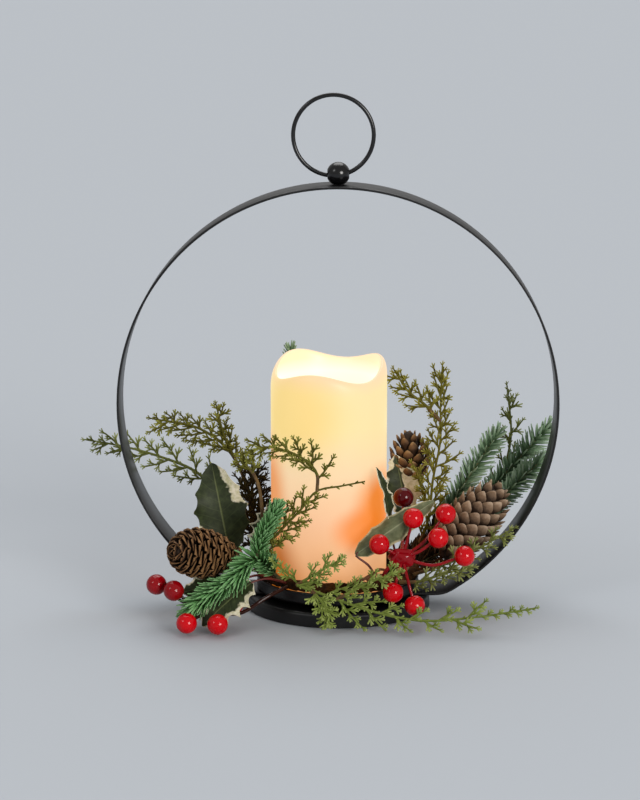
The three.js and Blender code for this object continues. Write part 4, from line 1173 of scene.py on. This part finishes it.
def make_leaf(name, spec, upper, under, stalk, rng):
    """A spined leaf, bowed along its length and folded along its rib, on a stalk from the ring."""
    root = root_at(spec["ring"])
    base = off(root, spec["base"])
    along = off(root, spec["tip"]) - base
    across = along.cross(Vector(spec["face"])).normalized()
    up = across.cross(along).normalized()
    shift = {side: rng.uniform(-SPINE_SHIFT, SPINE_SHIFT) for side in (-1, 1)}
    bpy.ops.mesh.primitive_grid_add(x_subdivisions=14, y_subdivisions=50, size=2)
    blade = named(f"{name}_blade")

    def shape(place):
        share = (place.y + 1) / 2
        side = 1 if place.x >= 0 else -1
        spine = (share * SPINES + shift[side] * math.sin(math.pi * share)) % 1
        tooth = max(0.0, 1 - abs(2 * spine - 1))
        margin = 1.12 - spec["teeth"] * (1 - tooth ** 2.4)
        half = 0.5 * MM + spec["width"] / 2 * MM * math.sin(math.pi * share ** 0.85) ** 0.7 * margin
        wave = math.sin(2 * math.pi * (share * SPINES * 0.5 + 0.25 * side)) * EDGE_WAVE * half * place.x ** 2
        rise = spec["bow"] * MM * math.sin(math.pi * share) + abs(place.x) ** 1.4 * spec["fold"] * half + wave
        return base + along * share + across * (place.x * half) + up * rise

    def paleness(place):
        """The cream margin's width, with the leaf's own patches, whose ends are eased."""
        share = (place.y + 1) / 2

        def past(mark):
            return ease(mark - PATCH_FADE, mark + PATCH_FADE, share)
        return spec["cream"] + sum(
            amount * past(start) * (1 - past(end))
            for side, start, end, amount in spec["patches"] if place.x * side > 0)
    set_values(blade.data, "cream", [paleness(vertex.co) for vertex in blade.data.vertices])
    set_places(blade, shape)
    thicken(blade, BLADE_THICKNESS, 0).material_offset = 1
    middle = blade.data.polygons[len(blade.data.polygons) // 2]
    if middle.normal.dot(up) < 0:
        blade.data.flip_normals()
    paint(blade, *((under, upper) if spec["turned"] else (upper, under)))
    apply_modifiers(blade)
    petiole = Route([root, off(root, spec["bend"]), base, base + along * 0.06])
    petiole = paint(strands_piece("petiole", [petiole.strand(14, *PETIOLE)], 2), stalk)
    leaf = join([blade, petiole], f"{name}_leaf")
    dress(smooth(leaf, 60), "frame", "holly_green", name)


def make_holly():
    upper = holly_upper()
    under = holly_under()
    stops = [(0.3, tone(64, 20, 14)), (0.7, tone(112, 34, 26))]
    stalk = simple("leaf_stalk", tone(92, 24, 20), 0.45, (200, 3, stops))
    for i, (name, spec) in enumerate(HOLLY.items()):
        make_leaf(name, HOLLY_DEFAULTS | spec, upper, under, stalk, random.Random(60 + i))


# Cedar

CEDAR = {
    "cedar_left_long": {
        "ring": 176, "face": (0.1, -1, 0.25), "kind": "grey",
        "path": [(-11, -2, 5), (-27, 2, 45), (-44, 14, 61), (-70, 23, 70), (-95, 27, 76), (-120, 29, 80)],
        "bare": 0.42, "branches": 12, "reach": 24,
    },
    "cedar_left_arch": {
        "ring": 158, "face": (0, -1, 0.2), "kind": "olive", "shoots": "blunt",
        "path": [(-7, 1, 14), (-15, 9, 50), (-27, 14, 73), (-48, 16, 88), (-79, 17, 94)],
        "bare": 0.56, "branches": 12, "reach": 25, "sides": (0.5, 1.15),
        "forks": [
            {"from": 0.48, "path": [(-30, 14, 83), (-35, 15, 103)], "bare": 0.15, "branches": 7, "reach": 13},
        ],
    },
    "cedar_left_dark": {
        # Its dark greens are painted shade
        "ring": 168, "face": (0.1, -1, 0.1), "kind": "dark", "stray": 0.45,
        "path": [(-4, 1, 12), (-7, 3, 40), (-8, 7, 63)],
        "bare": 0.15, "branches": 28, "reach": 28,
    },
    "cedar_front_fan": {
        "ring": 222, "face": (0, -1, 0.1), "kind": "olive", "stout": 1.1, "shoots": "blunt",
        "path": [(-11, -14, 21), (2, -16, 39), (14, -17, 52), (25, -17, 65), (40, -16, 68), (56, -15, 71)],
        "bare": 0.26, "branches": 11, "reach": 21, "leafy": 0.68, "crown": False,
        "forks": [
            {
                "from": 0.73,
                "path": [(25, -17, 76), (19, -17, 84), (6, -16, 91), (-9, -13, 93), (-22, -9, 88)],
                "bare": 0.12, "branches": 12, "reach": 18,
            },
            {
                "from": 0.25, "path": [(-11, -11, 54), (-15, -9, 72), (-26, -6, 84)],
                "bare": 0.8, "branches": 3, "reach": 12,
            },
        ],
    },
    "cedar_front_low": {
        "ring": 244, "face": (0, -0.8, 0.6), "kind": "fresh", "stout": 1.1, "shoots": "blunt",
        "path": [
            (-3, -12, 4), (18, -18, -2), (45, -23, -10), (76, -27, -15), (111, -29, -12), (150, -28, -6),
        ],
        "bare": 0.03, "branches": 14, "reach": 32, "leafy": 0.8, "taper": 0.5, "shortest": 0.5,
        "forks": [
            {"from": 0.06, "path": [(11, -12, 13), (25, -10, 21)], "bare": 0.1, "branches": 5, "reach": 12},
            {"from": 0.24, "path": [(45, -20, 9), (63, -20, 15)], "bare": 0.1, "branches": 6, "reach": 12},
            {"from": 0.14, "path": [(15, -24, -7), (18, -28, -17)], "bare": 0.1, "branches": 5, "reach": 11},
        ],
    },
    "cedar_right_tall": {
        "ring": 18, "face": (0, -1, 0.1), "kind": "gold", "stray": 0.3,
        "path": [(12, 0, 29), (15, 2, 56), (20, 6, 83), (20, 10, 106), (21, 11, 132)],
        "bare": 0.12, "branches": 26, "reach": 28, "taper": 0.6, "shortest": 0.6,
        "forks": [{
            "from": 0.73, "path": [(9, 9, 107), (-2, 9, 116), (-11, 8, 130)],
            "bare": 0.2, "branches": 8, "reach": 16,
        }],
    },
    "cedar_right_far": {
        "ring": 40, "face": (0, -1, 0.1), "kind": "grey",
        "path": [(41, 11, 5), (68, 15, 43), (78, 15, 78), (75, 15, 115)],
        "bare": 0.5, "branches": 9, "reach": 18,
    },
    "cedar_right_low": {
        "ring": 318, "face": (0, -0.9, 0.5), "kind": "grey",
        "path": [(16, -6, 2), (32, -8, 8), (50, -8, 12)],
        "bare": 0.25, "branches": 8, "reach": 13,
    },
    "cedar_right_strap": {
        "ring": 338, "face": (0, -1, 0.3), "kind": "grey",
        "path": [(20, -5, 8), (45, -8, 21), (68, -10, 35)],
        "bare": 0.3, "branches": 7, "reach": 13,
    },
}
CEDAR_DEFAULTS = {
    "stray": 0.12, "stout": 1.0, "shoots": "fine",
    "leafy": 0.95, "taper": 0.5, "shortest": 0.78, "sides": (1, 1), "crown": True,
}
CEDAR_GREENS = {
    "olive": ((58, 55, 10), (98, 96, 32), (142, 142, 66)),
    "grey": ((64, 68, 27), (107, 113, 57), (151, 158, 100)),
    # The dark kind is cedar green darkened with painted shade, for the sprig that stands in shade behind the
    # leaves
    "dark": ((16, 11, 1), (33, 28, 7), (58, 51, 18)),
    "fresh": ((78, 90, 30), (116, 130, 58), (152, 164, 92)),
    "gold": ((66, 59, 10), (106, 101, 31), (150, 145, 66)),
}
# Radii at the foot and the end of the woody stem, the green stem and a side branch
CEDAR_WOOD = (1.25 * MM, 1.05 * MM)
CEDAR_STEM = (1.1 * MM, 0.56 * MM)
CEDAR_BRANCH = (0.78 * MM, 0.55 * MM)
FROND_STEP = 4.8 * MM
FROND_LENGTH = 8.5 * MM
CROWN_FROND_LENGTH = 7 * MM
SPUR_STEP = 4.0 * MM
BRANCH_ANGLE = math.radians(38)
SPUR_ANGLE = math.radians(34)
# Paleness and shade of the green stems, which have no tips of their own
STEM_VALUES = {"tip": 0.32, "shade": 0.5}


def cedar_shoot(height, turn, roll, length, radius, end):
    """A short shoot that tapers to a share of its radius, leaning by turn from upright; sizes in mm."""
    lean = Matrix.Rotation(roll, 3, "Z") @ Matrix.Rotation(turn, 3, "Y")
    middle = Vector((0, 0, height * MM)) + lean @ Vector((0, 0, length / 2 * MM))
    bpy.ops.mesh.primitive_cone_add(
        vertices=5, radius1=radius * MM, radius2=end * radius * MM, depth=length * MM, end_fill_type="NGON",
        location=middle, rotation=lean.to_euler())
    apply_place()
    return named("shoot")


def frond_pattern(shoots, radius, end):
    """A twiglet 8 mm long: a rib with shoots to each side, given by their height, side and length."""
    parts = [cedar_shoot(0, 0, 0, 8, radius, end)]
    for height, side, length in shoots:
        parts.append(cedar_shoot(height, side * math.radians(33), 0.3 * side, length, 0.92 * radius, end))
    return Pattern(join(parts, "frond"))


def limb_routes(spec, defaults):
    """The main limb leaves the root, and the forks leave it at a share of its length."""
    root = root_at(spec["ring"])
    main = None
    for limb in [spec, *spec.get("forks", ())]:
        start = main.at(limb["from"]) if main else root
        route = Route([start, *[off(root, place) for place in limb["path"]]])
        main = main or route
        yield defaults | limb, route


def side_of(tangent, face, i):
    """Across a stem in the plane of its fan, left and right in turn."""
    return tangent.cross(face).normalized() * (1 if i % 2 == 0 else -1)


def fork_branch(route, share, i, reach, face, stray, rng):
    """A side branch that leaves a stem in the plane of the fan and bows back along it."""
    tangent = route.heading(share)
    angle = BRANCH_ANGLE + rng.uniform(-stray, stray)
    heading = leaning(tangent, side_of(tangent, face, i), angle) + face * rng.uniform(-0.16, 0.2)
    heading.normalize()
    start = route.at(share)
    end = start + heading * reach + tangent * 0.1 * reach
    return Route([start, start + heading * 0.5 * reach - tangent * 0.02 * reach, end], 6)


def clear_branch(route, share, i, reach, face, stray, rng):
    """A side branch, shortened where it would meet something else, or none where it has no room."""
    for part in (1.0, 0.7, 0.45):
        branch = fork_branch(route, share, i, part * reach, face, stray, rng)
        if all(is_clear(branch.at(step / 5)) for step in range(6)):
            return branch
    return None


def set_fronds(branch, face, length, rng):
    """Fronds left and right along a branch, and one at its end."""
    count = max(2, round(branch.length / FROND_STEP))
    found = []
    for i in range(count + 1):
        last = i == count
        share = 0.97 if last else 0.18 + 0.74 * i / count
        tangent = branch.heading(share)
        angle = rng.uniform(-0.1, 0.1) if last else BRANCH_ANGLE + rng.uniform(-0.16, 0.16)
        heading = leaning(tangent, side_of(tangent, face, i), angle) + face * rng.uniform(-0.22, 0.22)
        heading.normalize()
        size = length * (1.0 - 0.4 * share) * rng.uniform(0.8, 1.15)
        roll = Matrix.Rotation(rng.uniform(-0.5, 0.5), 3, heading)
        found.append((branch.at(share), heading, roll @ face, size))
    return found


def set_spurs(route, start, radius, face, rng):
    """Single scale leaves on a stem, from a share of its length to its end."""
    count = int(route.length * (1 - start) / SPUR_STEP)
    found = []
    for i in range(count):
        share = mix(start, 1, (i + 0.5) / count)
        tangent = route.heading(share)
        out = Matrix.Rotation(rng.uniform(-0.9, 0.9), 3, tangent) @ side_of(tangent, face, i)
        heading = leaning(tangent, out, SPUR_ANGLE + rng.uniform(-0.15, 0.15))
        found.append((route.at(share) + out * 0.4 * radius, heading, face, rng.uniform(1.5, 2.4) * MM))
    return found


def clear_placements(pattern, shoots, width):
    """Placements of the shoots that keep off everything else; short ones are thinner."""
    found = []
    for place, heading, front, size in shoots:
        if is_clear_along(place, heading, size, (0.1, 0.55, 1.05)):
            scale = size / pattern.length
            found.append(placement(place, heading, front, scale, width * (0.3 + 0.7 * scale)))
    return found


def grow_cedar(name, spec, patterns, spur, leaf, wood, rng):
    """Limbs with side branches, all set with fronds and spurs."""
    spec = CEDAR_DEFAULTS | spec
    face = Vector(spec["face"]).normalized()
    woody = []
    green = []
    fronds = []
    spurs = []
    for limb, route in limb_routes(spec, CEDAR_DEFAULTS):
        bare = limb["bare"]
        leafy = limb["leafy"]
        woody.append(route.strand(16, *CEDAR_WOOD, bare + 0.04))
        for i in range(limb["branches"]):
            run = i / limb["branches"]
            taper = 1.0 - limb["taper"] * run
            reach = limb["reach"] * MM * taper * rng.uniform(limb["shortest"], 1.05)
            reach *= limb["sides"][i % 2]
            branch = clear_branch(route, mix(bare, leafy, run), i, 0.8 * reach, face, spec["stray"], rng)
            if branch is None:
                continue
            green.append(branch.strand(6, *CEDAR_BRANCH))
            fronds += set_fronds(branch, face, FROND_LENGTH, rng)
            spurs += set_spurs(branch, 0.1, 0.6 * MM, face, rng)
        steps = [i / 20 for i in range(21)]
        green.append([(route.at(mix(bare, 1, s)), mix(*CEDAR_STEM, s)) for s in steps])
        if limb["crown"]:
            crown = Route([route.at(leafy - 0.05), route.at(leafy), route.at(1.0)], 4)
            fronds += set_fronds(crown, face, CROWN_FROND_LENGTH, rng)
        spurs += set_spurs(route, bare, 1.0 * MM, face, rng)
    frond = patterns[spec["shoots"]]
    leaves = frond.repeated(f"{name}_fronds", clear_placements(frond, fronds, spec["stout"]), rng)
    scales = spur.repeated("spurs", clear_placements(spur, spurs, 1.0), rng)
    shoots = strands_piece("shoots", [strand for strand in green if all(is_clear(p) for p, _ in strand)])
    for value, amount in STEM_VALUES.items():
        set_values(shoots.data, value, np.full(len(shoots.data.vertices), amount))
    pieces = [paint(piece, leaf) for piece in (leaves, scales, shoots)]
    pieces.append(paint(strands_piece("stems", woody), wood))
    dress(smooth(join(pieces, f"{name}_sprig"), 50), "frame", "cedar_green", name)


def make_cedar():
    fronds = {
        "fine": frond_pattern([(2.4, 1, 4.4), (3.6, -1, 4.0)], 0.8, 0.55),
        "blunt": frond_pattern([(1.6, 1, 4.2), (3.2, -1, 4.0), (4.8, 1, 3.0)], 0.68, 0.75),
    }
    spur = Pattern(cedar_shoot(0, 0, 0, 2, 0.52, 0.8))
    leaves = {kind: frond_green(f"cedar_{kind}", *tones) for kind, tones in CEDAR_GREENS.items()}
    wood = woody_stem("cedar_stem", tone(70, 48, 20), tone(116, 88, 42))
    for i, (name, spec) in enumerate(CEDAR.items()):
        grow_cedar(name, spec, fronds, spur, leaves[spec["kind"]], wood, random.Random(100 + i))


# Pine

PINE = {
    "pine_left": {
        "ring": 226, "flat": 0.3, "step": 0.22, "kind": "pale", "broad": 1.25, "angle": 46,
        "path": [(-17, -17, 20), (-32, -25, 8), (-46, -29, 0), (-60, -31, -11)], "bare": 0.12, "long": 1.15,
        "forks": [{"from": 0.36, "path": [(-13, -19, 34), (-3, -17, 54)], "bare": 0.1, "long": 0.85}],
    },
    "pine_right_upper": {
        "ring": 16, "flat": 0.55, "step": 0.4, "kind": "deep", "broad": 1.15,
        "path": [(17, 6, 21), (34, 11, 49), (58, 12, 87)], "bare": 0.02, "old": 0.34,
    },
    "pine_right_outer": {
        "ring": 32, "flat": 0.55, "step": 0.42, "kind": "deep", "broad": 1.15,
        "path": [(36, 5, 18), (66, 10, 52), (98, 9, 89)], "bare": 0.02, "old": 0.2,
    },
    "pine_right_front": {
        "ring": 4, "flat": 0.55, "step": 0.42, "kind": "deep", "broad": 1.15,
        "path": [(33, 12, 16), (61, 18, 45), (85, 19, 69)], "bare": 0.02, "old": 0.4,
    },
    "pine_back": {
        "ring": 100, "flat": 0.5, "step": 0.7, "kind": "deep",
        "path": [(-3, 4, 5), (-15, 7, 72), (-24, 5, 137)], "bare": 0.5,
    },
}
PINE_DEFAULTS = {"angle": 52, "broad": 1, "long": 1, "old": 0}
PINE_FACE = Vector((0, -1, 0.3)).normalized()
PINE_GREENS = {
    "pale": ((56, 86, 40), (94, 144, 84), (132, 176, 120)),
    "deep": ((58, 80, 52), (112, 138, 106), (154, 174, 148)),
    "old": ((24, 15, 6), (50, 34, 17), (84, 62, 36)),
}
PINE_STEM = (1.2 * MM, 0.65 * MM)
NEEDLE_LENGTH = 12 * MM
END_NEEDLES = 8
END_FROM = 0.9
END_CLOSING = 26


def needle_pattern():
    """A flat needle that tapers to a blunt point and curves a little."""
    bpy.ops.mesh.primitive_grid_add(x_subdivisions=2, y_subdivisions=4, size=2)

    def shape(place):
        share = (place.y + 1) / 2
        half = 0.5 * MM * (0.75 + 0.4 * math.sin(math.pi * share)) * (1 - 0.75 * share ** 4)
        keel = 0.18 * MM * (1 - abs(place.x))
        return Vector((place.x * half, keel + 0.9 * MM * share ** 2, NEEDLE_LENGTH * share))
    blade = set_places(named("needle"), shape)
    thicken(blade, 0.35 * MM, -1)
    return Pattern(apply_modifiers(blade))


def grow_pine(name, spec, pattern, leaf, old_leaf, wood, rng):
    """Limbs with needles in a spiral, flattened to a fan and closing at the end, old ones at the foot."""
    spec = PINE_DEFAULTS | spec
    strands = []
    fresh = []
    old = []
    for limb, route in limb_routes(spec, PINE_DEFAULTS):
        strands.append(route.strand(30, *PINE_STEM))
        count = int(route.length * (1 - limb["bare"]) / (spec["step"] * MM))
        for i in range(count + END_NEEDLES):
            share = min(0.995, mix(limb["bare"], 1, i / count))
            place = route.at(share)
            tangent = route.heading(share)
            side = tangent.cross(PINE_FACE).normalized()
            front = side.cross(tangent)
            out = leaning(side, front * (1 - spec["flat"]), i * GOLDEN_TURN).normalized()
            end = max(0, share - END_FROM) / (1 - END_FROM)
            angle = math.radians(spec["angle"] - END_CLOSING * end) + rng.uniform(-0.14, 0.14)
            heading = leaning(tangent, out, angle).normalized()
            size = rng.uniform(0.82, 1.08) * (1 - 0.3 * end) * limb["long"]
            if is_clear_along(place, heading, size * NEEDLE_LENGTH, (0.2, 0.6, 1.03)):
                needles = old if share < limb["old"] else fresh
                facing = mix(tangent, front, spec["flat"])
                needles.append(placement(place, heading, facing, size, spec["broad"]))
    pieces = [paint(strands_piece("stems", strands), wood)]
    for needles, skin in ((fresh, leaf), (old, old_leaf)):
        if needles:
            pieces.append(paint(pattern.repeated("needles", needles, rng), skin))
    dress(smooth(join(pieces, f"{name}_sprig"), 50), "frame", "pine_green", name)


def make_pine():
    pattern = needle_pattern()
    leaves = {kind: frond_green(f"pine_{kind}_needles", *tones) for kind, tones in PINE_GREENS.items()}
    wood = woody_stem("pine_stem", tone(62, 66, 36), tone(104, 100, 60))
    for i, (name, spec) in enumerate(PINE.items()):
        grow_pine(name, spec, pattern, leaves[spec["kind"]], leaves["old"], wood, random.Random(200 + i))


# Stage

def add_sun(name, direction, degrees, strength, color):
    lamp = bpy.data.lights.new(name, "SUN")
    lamp.angle = math.radians(degrees)
    lamp.energy = strength
    lamp.color = color
    sun = link_data(name, lamp)
    sun.rotation_euler = Vector(direction).to_track_quat("Z", "Y").to_euler()


def set_stage():
    scene = bpy.context.scene
    scene.view_settings.view_transform = "Standard"
    bpy.ops.mesh.primitive_circle_add(vertices=128, radius=30, fill_type="NGON", location=(0, 0, -0.2 * MM))
    floor = named("floor")
    paint(floor, simple("pale_grey_floor", tone(184, 189, 195), 0.9, Specular_IOR_Level=0.0))

    scene.world = bpy.data.worlds.new("soft_room")
    scene.world.use_nodes = True
    sky = scene.world.node_tree.nodes["Background"]
    sky.inputs["Color"].default_value = grey(1.0)
    sky.inputs["Strength"].default_value = 0.40

    add_sun("key_window", (0.55, -0.82, 0.26), 24, 1.85, (1.0, 0.98, 0.95))
    add_sun("side_window", (-0.62, -0.55, 0.55), 16, 0.3, (1.0, 1.0, 1.0))
    add_sun("ceiling", (0.02, 0.5, 0.86), 50, 1.6, (1.0, 1.0, 1.0))

    # Fitted to the hoop's four edges in the photo
    camera = bpy.data.cameras.new("camera")
    camera.lens = 114.27
    camera.sensor_width = 36
    camera.clip_end = 100
    eye = link_data("camera", camera)
    eye.location = (0.01788, -1.64345, 0.47063)
    eye.rotation_euler = (math.radians(90 - 11.42), 0, 0.0181)
    scene.camera = eye


make_hoop()
make_finial()
make_hanging_ring()
make_base()
make_candle()
finish_plain_nodes()
make_wreath_ring()
make_berries()
make_cones()
make_holly()
make_cedar()
make_pine()
set_stage()
